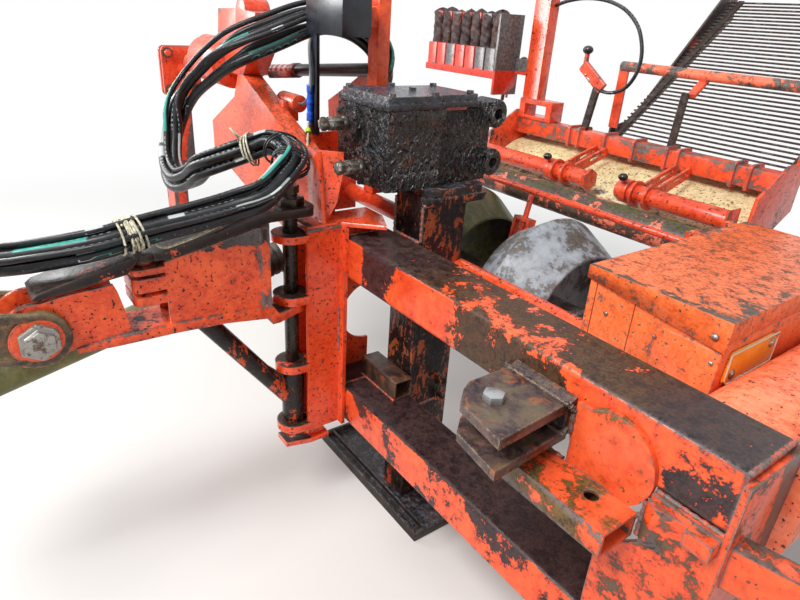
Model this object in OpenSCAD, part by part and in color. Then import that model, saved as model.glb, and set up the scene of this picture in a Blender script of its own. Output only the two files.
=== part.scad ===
// Front frame, hinged drawbar and lifting intake of a trailed potato digger.
// X runs across the machine towards its left side, Y rearwards, Z up.

/* [Cross beams] */
// Depth of both cross beams, front to back
beam_w = 150; // [120:1:180]
// Height of both cross beams
beam_h = 120; // [90:1:150]
// Length of the cross beams
beam_len = 1195; // [1100:5:1300]
// Outer corner radius of the beams
beam_r = 12; // [6:1:20]
// Height of the upper beam's top above the ground
upper_top = 915; // [860:5:980]
// Height of the lower beam's top above the ground
lower_top = 435; // [400:5:470]

/* [Hinge post] */
// Width of the channel post
post_w = 90; // [80:1:110]
// Depth of the channel post
post_d = 100; // [80:1:120]
// Plate thickness of the post
post_t = 12; // [8:1:16]
// Distance of the hinge pin in front of the post
pin_out = 28; // [26:1:40]
// Diameter of the hinge pin
pin_d = 40; // [30:1:46]
// Outer diameter of the lugs round the hinge pin
lug_d = 100; // [90:1:120]
// Thickness of the post's lugs
lug_t = 24; // [16:1:28]

/* [Drawbar] */
// Width of the drawbar over its side plates
bar_w = 104; // [90:1:120]
// Thickness of the top bar
bar_t = 24; // [16:1:32]
// Distance from the hinge pin to the hitch bolt
tongue_len = 610; // [560:5:700]
// Side plate thickness of the drawbar
side_t = 12; // [8:1:16]
// Thickness of the drawbar's bottom flange
flange_t = 26; // [18:1:30]
// Diameter of the hitch bolt
hitch_d = 36; // [30:1:42]
// Length of the hitch link from bolt to eye
link_len = 420; // [350:5:500]
// Height of the hitch link
link_h = 114; // [100:1:124]
// Diameter of the towing eye
eye_d = 50; // [40:1:60]
// Diameter of the brace tube
brace_d = 50; // [40:1:60]
// Diameter of the drive shaft's guard tube
shaft_guard_d = 76; // [60:1:80]

/* [Clevis] */
// Thickness of the clevis plates
clevis_t = 20; // [15:1:25]
// Clear gap between the clevis plates
clevis_gap = 45; // [35:1:60]
// Diameter of the clevis bolt
clevis_bolt_d = 24; // [20:1:30]

/* [Column and stand] */
// Width of the square column
col_w = 120; // [100:1:140]
// Depth of the column
col_d = 150; // [130:1:160]
// Wall of the column
col_t = 8; // [6:1:10]
// Running gap between column and leg, each side
leg_gap = 0.4; // [0.3:0.1:2]
// Length of the stand's foot
foot_len = 580; // [500:5:640]
// Width of the stand's foot
foot_w = 276; // [240:2:300]

/* [Gearbox] */
// Width of the gearbox across the machine
gear_w = 230; // [200:2:250]
// Length of the gearbox's front half
gear_front = 174; // [150:2:200]
// Length of the gearbox's rear half
gear_rear = 182; // [160:2:210]
// Height of the gearbox casting
gear_h = 200; // [180:1:230]
// Thickness of the gearbox cover
cover_t = 30; // [20:1:36]
// Diameter of the splined shaft ends
shaft_d = 35; // [30:1:45]
// Length of the splined shaft ends
shaft_len = 98; // [80:1:120]

/* [Guard box] */
// Width of the chain guard box
guard_w = 310; // [280:5:340]
// Length of the chain guard box
guard_len = 670; // [600:5:700]
// Sheet thickness of the guard
guard_t = 3; // [2:0.5:5]
// Depth of the lid's lip at the hinge side
lip_h = 34; // [24:1:44]
// Depth of the lid's front lip at the outer side
lip_deep = 65; // [45:1:80]

/* [Intake] */
// Width of the intake channel between its side plates
intake_w = 1065; // [1000:5:1120]
// Largest diameter of the ridge rollers
roller_d = 550; // [480:5:560]
// Side plate thickness of the intake
wall_t = 10; // [6:1:12]
// Width of one ridge roller
roller_w = 250; // [200:5:280]
// Diameter of the mossy cross tube
cross_d = 89; // [76:1:102]
// Diameter of the red lever tubes
lever_d = 57; // [48:1:64]
// Number of rods in the sieving web
web_rods = 40; // [20:1:44]
// Diameter of a web rod
rod_d = 7; // [5:1:11]
// Side of the square gauge bar
gauge_bar_w = 60; // [50:1:70]

/* [Hidden] */
$fn = 48;

// The frame is held where its side member joins the machine's chassis
member_w = 230;
member_h = 260;
member_x = 1010;
member_z = 770;
member_end = 1300;
hold_x = member_x;
hold_y = member_end;
hold_z = member_z;

beam_x = -110;
near_end = beam_x + beam_len;
post_x = beam_x;
seat = 0.3;
back_t = 12;
post_y = -back_t - post_d;
pin_x = post_x + post_w/2;
pin_y = post_y - pin_out;
post_top = upper_top + 28;
post_bottom = lower_top - beam_h - 10;
top_lug_t = 20;
top_lug_z = 914;
ring_a_z = 736;
ring_b_z = 520;
ring_c_z = 312;
boss_r = 33;
boss_low = ring_c_z + lug_t + 1;
boss_high = ring_b_z - 1;

half_bar = bar_w/2;
bar_z = 985;
bar_top = bar_z + bar_t;
flange_z = 706;
flange_over = 6;
tail_y = pin_y - 82;
tail_top = bar_z - 8;
bend_y = -216;
nose_y = -476;
nose_end = -550;
nose_top = 953;
nose_t = 18;
nose_hole_y = -513;
nose_hole_d = 34;
hitch_y = pin_y - tongue_len;
hitch_z = 811;
link_rise = 12;
link_t = 22;
link_rim = 18;
link_sunk = 6;

col_x = 4;
col_y = beam_w + 1;
col_top = 1018;
top_plate_t = 19.7;
gear_z = col_top + 2*top_plate_t + seat;
gear_near = 100;
gear_y = 45;
shaft_seat = 22.3;
upper_shaft_x = -60;
upper_shaft_z = 1206;
lower_shaft_x = 20;
lower_shaft_z = 1112;

guard_x = 585;
guard_y = 268;
guard_top = 1000;
guard_low = 790;
lid_over = 6;
lid_pin_x = guard_x - lid_over - 9;
lid_pin_z = guard_top + 3;
lid_pin_d = 8;
wall_y = 640;
wall_near = guard_x - wall_t - seat;
wall_far = wall_near - intake_w;
inner_far = wall_far + seat;
inner_len = intake_w - 2*seat;
roller_y = 590;
roller_z = 672;
axle_d = 40;
cross_y = 790;
cross_z = 940;
lever_y = 900;
lever_z = 1000;
bearing_x = wall_near - 18;
gauge_y = 650;
gauge_z = 985;
gauge_d = 20;
bar_y = 1120;
bar_low = 1050;

paint = [0.90, 0.29, 0.14];
dark = [0.22, 0.18, 0.17];
rust = [0.45, 0.27, 0.15];
cast = [0.17, 0.15, 0.16];
steel = [0.55, 0.55, 0.55];
rubber = [0.09, 0.09, 0.10];

module seated() { translate([-hold_x, -hold_y, -hold_z]) children(); }
module along_x(x, len) { translate([x, 0, 0]) rotate([90, 0, 90]) linear_extrude(len) children(); }
module along_y(y, len) { translate([0, y + len, 0]) rotate([90, 0, 0]) linear_extrude(len) children(); }
module rod_x(x, y, z, len, d) { translate([x, y, z]) rotate([0, 90, 0]) cylinder(h = len, d = d); }
module rod_y(x, y, z, len, d) { translate([x, y + len, z]) rotate([90, 0, 0]) cylinder(h = len, d = d); }
module hex(len, flats) { cylinder(h = len, d = flats/cos(30), $fn = 6); }
module hex_x(x, y, z, len, flats) { translate([x, y, z]) rotate([0, 90, 0]) hex(len, flats); }
module hex_z(x, y, z, len, flats) { translate([x, y, z]) hex(len, flats); }

// Rectangle with true round corners
module round_box(w, h, r) {
  translate([r, 0]) square([w - 2*r, h]);
  translate([0, r]) square([w, h - 2*r]);
  for (x = [r, w - r], y = [r, h - r]) translate([x, y]) circle(r);
}

module beam(top) {
  along_x(beam_x, beam_len) translate([0, top - beam_h]) round_box(beam_w, beam_h, beam_r);
}
module upper_beam() seated() color(paint) beam(upper_top);
module lower_beam() seated() color(dark) beam(lower_top);

// Ear of a lug: a round end about the pin that runs back to the post
module lug(z, t) {
  translate([pin_x, pin_y, z]) difference() {
    union() {
      cylinder(h = t, d = lug_d);
      translate([-lug_d/2, 0, 0]) cube([lug_d, pin_out + 4, t]);
    }
    translate([0, 0, -1]) cylinder(h = t + 2, d = pin_d + 0.1);
  }
}

// Channel post with its lugs, the plates on the beams' ends and the top gusset
end_cut_r = 96;
gusset_t = 12;
bracket_y = -62;
bracket_top = 1138;
module post() seated() color(paint) {
  difference() {
    translate([post_x, post_y, post_bottom]) cube([post_w, post_d, post_top - post_bottom]);
    translate([post_x + post_t, post_y - 1, post_bottom - 1])
      cube([post_w - 2*post_t, post_d - post_t + 1, post_top - post_bottom + 2]);
  }
  lug(top_lug_z, top_lug_t);
  for (z = [ring_a_z, ring_b_z, ring_c_z]) lug(z, lug_t);
  translate([0, 0, post_top]) linear_extrude(gusset_t)
    polygon([[post_x, post_y], [post_x + post_w, post_y], [post_x + post_w, -back_t], [63, 82], [-24, 125],
      [post_x, 125]]);
  translate([post_x - back_t, -back_t, post_bottom])
    cube([post_w + back_t + 24, back_t - seat, post_top - post_bottom]);
  translate([post_x, -back_t, upper_top + seat]) cube([post_w, 120, post_top - upper_top - seat]);
  along_x(post_x - back_t, back_t - seat) difference() {
    translate([-back_t, post_bottom]) square([beam_w + back_t, upper_top - post_bottom]);
    translate([beam_w, (upper_top + lower_top - beam_h)/2]) circle(end_cut_r);
  }
  translate([post_x + 10, post_y + 10, post_bottom - 50]) difference() {
    linear_extrude(16) polygon([[0, -75], [60, -75], [78, 0], [78, 60], [0, 60]]);
    translate([32, -45, -1]) cylinder(h = 18, d = 22);
  }
  translate([post_x + 10, post_y + 10, post_bottom - 34]) cube([60, 50, 34]);
  along_y(bracket_y, gusset_t) polygon([[post_x, post_top + 1], [post_x + post_w - 6, post_top + 1],
    [post_x + post_w - 32, bracket_top - 40], [post_x + post_w - 38, bracket_top],
    [post_x, bracket_top + 2]]);
  translate([post_x + post_w - 46, bracket_y + 4, post_top + 1])
    rotate([0, 0, 50]) along_y(0, 10) difference() {
    polygon([[0, 0], [24, 0], [52, 60], [70, 150], [68, bracket_top - post_top],
      [0, bracket_top - post_top]]);
    translate([52, 158]) circle(11);
  }
}

// Plates on the beams' outer end, with the slanting beam for the coulters
coulter_h = 80;
module end_plate() seated() color(paint) {
  along_y(-back_t - seat, back_t) polygon([[905, lower_top - beam_h - 15],
    [near_end, lower_top - beam_h - 15],
    [near_end, upper_top - beam_h - 2], [968, upper_top - beam_h - 2], [968, 686], [930, 650],
    [898, 600], [898, 500]]);
  translate([905, beam_w + seat, lower_top - beam_h - 15])
    cube([near_end - 905, 12, upper_top - lower_top + beam_h]);
  translate([near_end + seat, -back_t - seat, lower_top - beam_h - 15])
    cube([12, beam_w + back_t + 12.3 + seat, upper_top - lower_top + beam_h]);
  translate([near_end - 1, -back_t - seat, lower_top - beam_h - 15]) cube([3, back_t, upper_top - lower_top]);
  translate([near_end - 1, beam_w + seat, lower_top - beam_h - 15]) cube([3, 12, upper_top - lower_top]);
  translate([984, -2, upper_top - beam_h - 15 - coulter_h]) rotate([0, 0, 13]) {
    linear_extrude(coulter_h) { translate([0, -21]) square([340, 42]); circle(21); }
  }
  translate([1040, -36, upper_top - beam_h - 34]) cube([45, 26, 30]);
}

module side_member() seated() color(paint)
  along_y(beam_w + back_t + 2*seat, member_end - beam_w - back_t - 2*seat)
    translate([member_x - member_w/2, member_z - member_h/2]) round_box(member_w, member_h, 80);

clevis_top = 858;
clevis_low = clevis_top - clevis_t - clevis_gap;
clevis_x = 637;
bolt_x = 705;
bolt_y = -125;
module clevis_plate(top) translate([clevis_x, 0, top - clevis_t]) difference() {
  linear_extrude(clevis_t) polygon([[0, -seat], [0, -121], [14, -148], [42, -180], [158, -196],
    [146, -seat]]);
  translate([bolt_x - clevis_x, bolt_y, -1]) cylinder(h = clevis_t + 2, d = clevis_bolt_d + 2);
}
module clevis() seated() color(rust) {
  clevis_plate(clevis_top);
  clevis_plate(clevis_low);
  translate([clevis_x - 16, -back_t, clevis_low - clevis_t])
    cube([162, back_t - seat, 2*clevis_t + clevis_gap]);
  along_x(clevis_x + 4, 150) for (z = [clevis_top, clevis_low])
    polygon([[-24, z], [-seat, z], [-seat, z + 13], [-8, z + 11]]);
}
module clevis_bolt() seated() color(steel) {
  hex_z(bolt_x, bolt_y, clevis_top + seat, 15, 36);
  translate([bolt_x, bolt_y, clevis_low - clevis_t - 30])
    cylinder(h = clevis_top - clevis_low + clevis_t + 31, d = clevis_bolt_d);
}

// Channel for a flat bar, with the gusset plate that carries it on the beam
shelf_x = 690;
shelf_len = 265;
shelf_z = 690;
module shelf_tube() seated() color(rust) {
  difference() {
    translate([shelf_x, -102, shelf_z]) cube([shelf_len, 90, 50]);
    translate([shelf_x - 1, -96, shelf_z + 6]) cube([shelf_len + 2, 78, 38]);
    translate([886, -45, shelf_z + 40]) cylinder(h = 20, d = 27);
  }
  along_y(-back_t, back_t - seat) {
    translate([shelf_x + 110, shelf_z]) square([131, 180]);
    translate([882, 805]) circle(85);
  }
}

module receiver() seated() color(dark) along_x(-44, 182) translate([87, lower_top + seat]) difference() {
  round_box(63, 63, 6);
  translate([6, 6]) square([51, 51]);
}

module column() seated() color(dark) {
  difference() {
    translate([col_x, col_y, 250]) cube([col_w, col_d, col_top - 249]);
    translate([col_x + col_t, col_y + col_t, 249]) cube([col_w - 2*col_t, col_d - 2*col_t, col_top - 260]);
  }
  translate([col_x - 26, col_y, col_top]) linear_extrude(top_plate_t) round_box(col_w + 46, 226, 40);
  translate([col_x - 14, col_y + 8, col_top + top_plate_t - 1]) linear_extrude(top_plate_t + 1)
    round_box(col_w + 24, 206, 34);
  for (z = [372, 432]) translate([col_x + col_w - 1, col_y + col_d - 40, z]) rotate([90, 0, 0])
    linear_extrude(8) polygon([[0, 0], [46, 26], [40, 34], [0, 46]]);
}

module stand_leg() seated() color(dark)
  translate([col_x + col_t + leg_gap, col_y + col_t + leg_gap, 12 + seat])
    cube([col_w - 2*col_t - 2*leg_gap, col_d - 2*col_t - 2*leg_gap, 588]);

// Foot: a tray of plate with a turned-up rim and a rib along it
foot_x = col_x + col_w/2 - 70 - foot_len/2;
module stand_foot() seated() color(dark) translate([foot_x, col_y + col_d/2 - foot_w/2, 0]) {
  cube([foot_len, foot_w, 12]);
  for (y = [0, foot_w - 10]) translate([0, y, 0]) cube([foot_len, 10, 34]);
  for (x = [0, foot_len - 10]) translate([x, 0, 0]) cube([10, foot_w, 34]);
  translate([9, 40, 11]) cube([foot_len - 18, 8, 20]);
}

// Gearbox: two halves, bearing caps in front and two bored ears behind
ear_r = 38;
ear_y = gear_y + gear_front + gear_rear + 12;
ear_zs = [1104, 1236];
module gearbox() seated() color(cast) {
  translate([gear_near - gear_w, gear_y, gear_z]) linear_extrude(gear_h) round_box(gear_w, gear_front, 8);
  translate([gear_near - gear_w + 20, gear_y + gear_front - 12, gear_z + 1]) linear_extrude(gear_h - 8)
    round_box(gear_w - 35, gear_rear + 12, 12);
  translate([gear_near - 8, gear_y + 20, gear_z]) cube([12, gear_front - 30, 46]);
  translate([gear_near - 8, gear_y + 6, gear_z + gear_h - 26]) cube([14, gear_front - 8, 25]);
  difference() {
    for (z = ear_zs) {
      rod_x(20, ear_y, z, 68, 2*ear_r);
      rod_x(80, ear_y, z, 16, 60);
      translate([20, ear_y - 50, z - 30]) cube([68, 50, 60]);
    }
    for (z = ear_zs) rod_x(40, ear_y, z, 60, 30);
  }
  rod_y(upper_shaft_x, gear_y - 22, upper_shaft_z, 23, 104);
  rod_y(lower_shaft_x, gear_y - 22, lower_shaft_z, 23, 96);
  translate([upper_shaft_x - 66, gear_y - 6, gear_z + 4]) cube([150, 8, gear_h - 8]);
}
cover_z = gear_z + gear_h + seat;
module gearbox_cover() seated() color(dark) translate([gear_near - gear_w - 8, gear_y - 8, cover_z]) {
  linear_extrude(cover_t/2) round_box(gear_w + 16, gear_front + 14, 18);
  linear_extrude(cover_t/2) translate([18, 100]) round_box(gear_w - 18, gear_front + gear_rear - 136, 18);
  translate([10, 10, cover_t/2 - 1]) linear_extrude(cover_t/2 + 1) round_box(gear_w - 4, gear_front - 6, 14);
  translate([26, 110, cover_t/2 - 1]) linear_extrude(cover_t/2 + 1)
    round_box(gear_w - 34, gear_front + gear_rear - 156, 14);
  for (x = [26, gear_w/2 + 8, gear_w - 10], y = [26, gear_front - 14]) hex_z(x, y, cover_t - 1, 9, 17);
  for (x = [46, gear_w - 26]) hex_z(x, gear_front + gear_rear - 66, cover_t - 1, 9, 17);
}
module stub(x, z) rod_y(x, gear_y - shaft_seat - shaft_len + 24, z, shaft_len - 24, shaft_d);
module upper_shaft() seated() color(steel) stub(upper_shaft_x, upper_shaft_z);
module lower_shaft() seated() color(steel) stub(lower_shaft_x, lower_shaft_z);

module drive_tube() seated() color(paint)
  rod_x(col_x + col_w + seat, 300, 812, guard_x - col_x - col_w - 2*seat, 64);

module guard_outline(inset) translate([inset, inset]) square([guard_w - 2*inset, guard_len - 2*inset]);
module guard_box() seated() color(paint) translate([guard_x, guard_y, guard_low]) {
  difference() {
    linear_extrude(guard_top - guard_low - guard_t - seat) guard_outline(0);
    translate([0, 0, guard_t]) linear_extrude(guard_top) guard_outline(guard_t);
  }
  translate([175, -1.5, 2]) cube([guard_w - 176, 2, guard_top - guard_low - lip_deep - 6]);
}
// Lid with a lip on three sides, deeper towards the outside, and knuckles on its left edge
lid_knuckles = [675, 850];
side_lip = 46;
module guard_lid() seated() color(paint) difference() {
  union() {
    translate([guard_x, guard_y, guard_top - guard_t]) linear_extrude(guard_t) guard_outline(-lid_over);
    along_y(guard_y - lid_over, guard_t) translate([guard_x - lid_over, guard_top])
      polygon([[0, -1], [guard_w + 2*lid_over, -1], [guard_w + 2*lid_over, -lip_deep], [0, 4 - lip_h]]);
    translate([guard_x + guard_w + lid_over - guard_t, guard_y - lid_over, guard_top - side_lip])
      cube([guard_t, guard_len + 2*lid_over, side_lip - 1]);
    translate([guard_x - lid_over, guard_y + guard_len + lid_over - guard_t, guard_top - lip_h])
      cube([guard_w + 2*lid_over, guard_t, lip_h - 1]);
    for (y = lid_knuckles) {
      rod_y(lid_pin_x, y, lid_pin_z, 30, 14);
      translate([lid_pin_x, y, guard_top - 1]) cube([40, 30, 5]);
    }
  }
  for (y = lid_knuckles) rod_y(lid_pin_x, y - 1, lid_pin_z, 32, lid_pin_d + 0.1);
}
module reflector() seated() color([0.95, 0.62, 0.12]) translate([guard_x + guard_w + seat, guard_y + 25, 850])
  rotate([90, 0, 90]) linear_extrude(5) polygon([[0, 14], [6, 78], [168, 78], [202, 54], [194, 0], [34, 0]]);

module hinge_pin() seated() color(steel) {
  translate([pin_x, pin_y, ring_c_z - 6]) cylinder(h = bar_top + 12 - ring_c_z, d = pin_d);
  hex_z(pin_x, pin_y, bar_top + 0.5, 20, 66);
  translate([pin_x, pin_y, bar_top + 20]) cylinder(h = 12, d = 42);
  hex_z(pin_x, pin_y, bar_top + 31, 20, 44);
}

// Drawbar: bent bottom flange, side plates lapped in front, end plate, and lugs in the break
joint_y = -562;
clip_in = shaft_guard_d/2 + 1.5;
clip_out = clip_in + 10.5;
far_face = pin_x - half_bar;
lug_stack = [[829, 22], [862, 33], [904, 15]];
module side_rear() polygon([[tail_y + 2, flange_z + 50], [tail_y + 2, bar_z - 2],
  [nose_y - 2, nose_top - bar_t - 2*seat], [nose_y - 2, 772], [-346, 764]]);
module side_front() {
  polygon([[joint_y, 770], [joint_y - 22, 879], [joint_y - 28, 896], [-691, 890], [-740, 882],
    [hitch_y - 40, 870],
    [hitch_y, hitch_z], [hitch_y - 20, hitch_z - 70], [-683, 762]]);
  translate([hitch_y, hitch_z]) circle(74);
}
module tongue() seated() color(paint) {
  for (x = [pin_x - half_bar, pin_x + half_bar - side_t]) {
    along_x(x, side_t) side_rear();
    difference() {
      along_x(x, side_t) side_front();
      rod_x(x - 1, hitch_y, hitch_z, side_t + 2, hitch_d + 0.1);
    }
  }
  translate([pin_x - half_bar - 4, tail_y - 28, flange_z + 45])
    cube([bar_w + 8, 28, tail_top - flange_z - 45]);
  difference() {
    union() {
      translate([pin_x, pin_y, flange_z]) cylinder(h = flange_t, r = boss_r);
      translate([pin_x, 0, flange_z]) linear_extrude(flange_t) polygon([[-boss_r, pin_y], [boss_r, pin_y],
        [half_bar + flange_over, tail_y + 20], [half_bar + flange_over, tail_y],
        [-half_bar - flange_over, tail_y],
        [-half_bar - flange_over, tail_y + 20]]);
      along_x(pin_x - half_bar - flange_over, bar_w + 2*flange_over) polygon([[-202, flange_z], [-219, 724],
        [-346, 741], [-470, 747], [-596, 748], [-683, 752], [-683, 764], [-596, 774], [-470, 773],
        [-346, 767],
        [-219, 758], [-202, flange_z + flange_t]]);
    }
    translate([pin_x, pin_y, flange_z - 1]) cylinder(h = flange_t + 2, d = pin_d + 0.1);
  }
  for (s = lug_stack) translate([pin_x, nose_hole_y, s[0]]) linear_extrude(s[1]) difference() {
    union() {
      translate([-half_bar, nose_y - nose_hole_y - 18]) square([bar_w, 20]);
      translate([-half_bar, -20]) square([bar_w, 40]);
      translate([-half_bar + 18, -38]) square([bar_w - 36, 30]);
      for (x = [-half_bar + 18, half_bar - 18]) translate([x, -20]) circle(18);
    }
    circle(d = nose_hole_d);
  }
  translate([pin_x, nose_hole_y, 820]) difference() {
    cylinder(h = nose_top - nose_t - 820 - seat, d = 52);
    translate([0, 0, -1]) cylinder(h = 200, d = nose_hole_d);
  }
  for (y = [-330, -475]) along_y(y, 16) {
    difference() {
      translate([cone_x(y), cone_z(y)]) circle(clip_out);
      translate([cone_x(y), cone_z(y)]) circle(clip_in);
      translate([cone_x(y) - 80, cone_z(y)]) square([160, 80]);
    }
    polygon([[cone_x(y) + clip_out, cone_z(y) - 6], [far_face - 8, 800], [far_face + 2, 800],
      [far_face + 2, 830],
      [far_face - 16, 830], [cone_x(y) + clip_in + 0.5, cone_z(y) + 4],
      [cone_x(y) + clip_in + 0.5, cone_z(y) - 6]]);
  }
}

module top_bar() seated() color(dark) difference() {
  union() {
    translate([pin_x, pin_y, bar_z]) linear_extrude(bar_t) translate([-half_bar, bend_y - pin_y])
      round_box(bar_w, 55 - bend_y + pin_y, 30);
    translate([pin_x, pin_y, bar_z]) linear_extrude(bar_t)
      translate([-half_bar, bend_y - pin_y]) square([bar_w, 80]);
    along_x(pin_x - half_bar, bar_w) polygon([[bend_y + 1, bar_z], [bend_y + 1, bar_top], [bend_y, bar_top],
      [nose_y, nose_top], [nose_y, nose_top - bar_t], [bend_y, bar_z]]);
    translate([pin_x, nose_y, nose_top - nose_t]) linear_extrude(nose_t) {
      translate([-half_bar, -22]) square([bar_w, 24]);
      translate([0, nose_hole_y - nose_y]) scale([bar_w/74, 1]) circle(d = 74);
    }
    along_x(pin_x - half_bar, bar_w) polygon([[nose_end + 20, nose_top - 2], [nose_end, nose_top - 2],
      [-640, 928],
      [-735, 905], [-748, 894], [-740, 891], [-640, 903], [nose_end - 9, 914],
      [nose_end + 10, nose_top - nose_t]]);
    translate([-62, -545, nose_top - 1]) cube([64, 18, 38]);
  }
  translate(ends_route[0]) rotate([90 + atan2(11, 71), 0, 0]) translate([0, 0, -20])
    cylinder(h = 60, r = bundle_r + 0.5);
  translate([pin_x, pin_y, bar_z - 1]) cylinder(h = bar_t + 2, d = pin_d + 0.1);
  translate([pin_x, nose_hole_y, 900]) cylinder(h = 80, d = nose_hole_d);
}

brace_lean = 36.5;
module brace_tube() seated() color(dark) difference() {
  union() {
    translate([pin_x, pin_y, boss_low]) cylinder(h = boss_high - boss_low, r = boss_r);
    translate([pin_x, pin_y, 402]) rotate([brace_lean, 0, 0]) cylinder(h = 460, d = brace_d);
    along_x(pin_x - 6, 12) polygon([[pin_y, 470], [pin_y - 90, 560], [pin_y - 60, 500], [pin_y - 20, 440]]);
  }
  translate([pin_x, pin_y, boss_low - 1]) cylinder(h = boss_high - boss_low + 2, d = pin_d + 0.1);
  along_x(pin_x - 100, 200) polygon([[-219, 723.7], [-346, 740.7], [-470, 746.7], [-470, 1000],
    [-219, 1000]]);
}

module hitch_bolt() seated() color(steel) {
  rod_x(pin_x - half_bar - link_t - 10, hitch_y, hitch_z, bar_w + 2*link_t + 20, hitch_d);
  for (side = [-1, 1]) {
    hex_x(pin_x + side*(half_bar + link_t + 4) - 7, hitch_y, hitch_z, 14, 74);
    hex_x(pin_x + side*(half_bar + link_t + 18) - 8, hitch_y, hitch_z, 16, 55);
  }
}

// Link: two plates with a raised rim, joined in front by the block with the eye
module link_outline(inset) {
  circle(link_h/2 + 6 - inset);
  translate([-link_len, -link_h/2 + inset]) square([link_len, link_h - 2*inset]);
}
module hitch_link() seated() color(dark) translate([0, hitch_y, hitch_z]) rotate([-link_rise, 0, 0]) {
  for (side = [0, 1]) {
    x0 = side == 0 ? pin_x - half_bar - 0.5 - link_t : pin_x + half_bar + 0.5;
    difference() {
      along_x(x0, link_t) link_outline(0);
      along_x(x0 + (side == 0 ? -1 : link_t - link_sunk), link_sunk + 1) link_outline(link_rim);
      rod_x(x0 - 1, 0, 0, link_t + 2, hitch_d + 0.1);
    }
  }
  difference() {
    union() {
      translate([pin_x - half_bar - 1, -link_len, -52]) cube([bar_w + 2, 90, 104]);
      translate([pin_x, -link_len - 40, -22]) cylinder(h = 44, d = 120);
    }
    translate([pin_x, -link_len - 40, -23]) cylinder(h = 46, d = eye_d);
  }
}

// Drive shaft guard that rests on the drawbar's far side, from its rear cone forwards
cone_rear = [-192, -112, 815];
cone_front = [-224, -1060, 560];
cone_run = cone_front - cone_rear;
guard_len_y = norm(cone_run);
function cone_x(y) = cone_rear[0] + cone_run[0]*(y - cone_rear[1])/cone_run[1];
function cone_z(y) = cone_rear[2] + cone_run[2]*(y - cone_rear[1])/cone_run[1];
module along_shaft() translate(cone_rear)
  rotate([0, 0, -atan2(cone_run[0], cone_run[1])]) rotate([-acos(cone_run[2]/guard_len_y), 0, 0]) children();
module shaft_guard() seated() color([0.34, 0.34, 0.16]) along_shaft()
  translate([0, 0, 90]) cylinder(h = guard_len_y - 180, d = shaft_guard_d);
module cone_rings() rotate_extrude() polygon([[30, 0], [45, 0], [45, 12], [41, 16], [45, 20], [45, 32],
  [41, 36],
  [45, 40], [45, 52], [41, 56], [44, 60], [43, 72], [39, 76], [42, 80], [41, 90 - seat], [30, 90 - seat]]);
module shaft_cones() seated() color(rubber) along_shaft() {
  cone_rings();
  translate([0, 0, guard_len_y]) mirror([0, 0, 1]) cone_rings();
}

module cross_tube() seated() color(dark) rod_x(inner_far, cross_y, cross_z, inner_len, cross_d);
module gauge_rod() seated() color(paint) rod_x(inner_far, gauge_y, gauge_z, inner_len, gauge_d);
tube_a_end = 64;
tube_b_start = 190;
module lever_tubes() seated() color(paint) {
  rod_x(inner_far, lever_y, lever_z, tube_a_end - inner_far, lever_d);
  hex_x(tube_a_end - 1, lever_y, lever_z, 13, 66);
  rod_x(tube_b_start, lever_y, lever_z, bearing_x - tube_b_start - seat, lever_d);
}
// Slotted arms, rings and locking knobs on the lever tubes
arm_xs = [-72, -28, 250, 298];
knob_xs = [-104, 206];
module lever_arms() seated() color(paint) difference() {
  union() {
    for (x = arm_xs) along_x(x, 9) {
      translate([lever_y, lever_z]) circle(lever_d/2 + 12);
      translate([lever_y, lever_z]) rotate(17) translate([0, -17]) square([196, 34]);
      translate([lever_y, lever_z]) rotate(17) translate([196, 0]) circle(17);
    }
    for (x = knob_xs) {
      rod_x(x, lever_y, lever_z, 30, lever_d + 18);
      translate([x + 15, lever_y, lever_z]) rotate([38, 0, 0]) cylinder(h = 62, d = 12);
    }
  }
  for (x = arm_xs) along_x(x - 1, 11) translate([lever_y, lever_z]) rotate(17) {
    translate([120, -6]) square([66, 12]);
    translate([120, 0]) circle(6);
    translate([186, 0]) circle(6);
  }
  rod_x(-300, lever_y, lever_z, 900, lever_d + 2*seat);
}
collar_xs = [-222, -178, -60, 62, 190, 232, 420, 470];
module gauge_bar() seated() color(paint) {
  along_x(inner_far, inner_len) translate([bar_y, bar_low]) square(gauge_bar_w);
  for (x = collar_xs) along_x(x, 12) translate([bar_y - 10, bar_low - 10])
    round_box(gauge_bar_w + 20, gauge_bar_w + 20, 12);
}
// Side plate: low along the guard, rising behind it, with an arm down to the roller axle
module wall_outline(back) {
  polygon([[wall_y, 860], [1000, 880], [back, 880 + 0.55*(back - 1000)], [back, 1140], [1110, 1140],
    [970, 1060],
    [960, guard_top - lip_h - 10], [wall_y, guard_top - lip_h - 10]]);
  polygon([[roller_y - 40, roller_z], [roller_y + 40, roller_z], [wall_y + 160, 900], [wall_y, 940]]);
  translate([roller_y, roller_z]) circle(40);
}
// Flat lug on a side plate that reaches up to a tube's end
module wall_lug(y, w, top) polygon([[y - w/2, 930], [y + w/2, 930], [y + w/2, top], [y - w/2, top]]);
web_y = 1215;
web_z = 1100;
web_step = [16.5, 12.4];
web_end_y = web_y + (web_rods - 1)*web_step[0];
web_end_z = web_z + (web_rods - 1)*web_step[1];
module near_wall() seated() color(paint) {
  along_x(wall_near, wall_t) {
    wall_outline(1210);
    wall_lug(gauge_y, 30, gauge_z + 5);
    polygon([[1180, 1050], [web_end_y + 20, web_z + 0.75*(web_end_y - web_y) - 30], [web_end_y + 20,
      web_z + 0.75*(web_end_y - web_y) + 110], [1180, 1140]]);
  }
  along_x(bearing_x, 6) wall_lug(lever_y, lever_d + 10, lever_z + lever_d/2 + 5);
  translate([bearing_x, lever_y - 15, 930]) cube([wall_near - bearing_x + 1, 30, 20]);
  for (y = lid_knuckles) {
    rod_y(lid_pin_x, y - 12, lid_pin_z, 54, lid_pin_d);
    for (dy = [-12, 36]) translate([lid_pin_x - 6.7, y + dy, 940]) cube([13.4, 6, lid_pin_z - 934]);
  }
}
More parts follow.
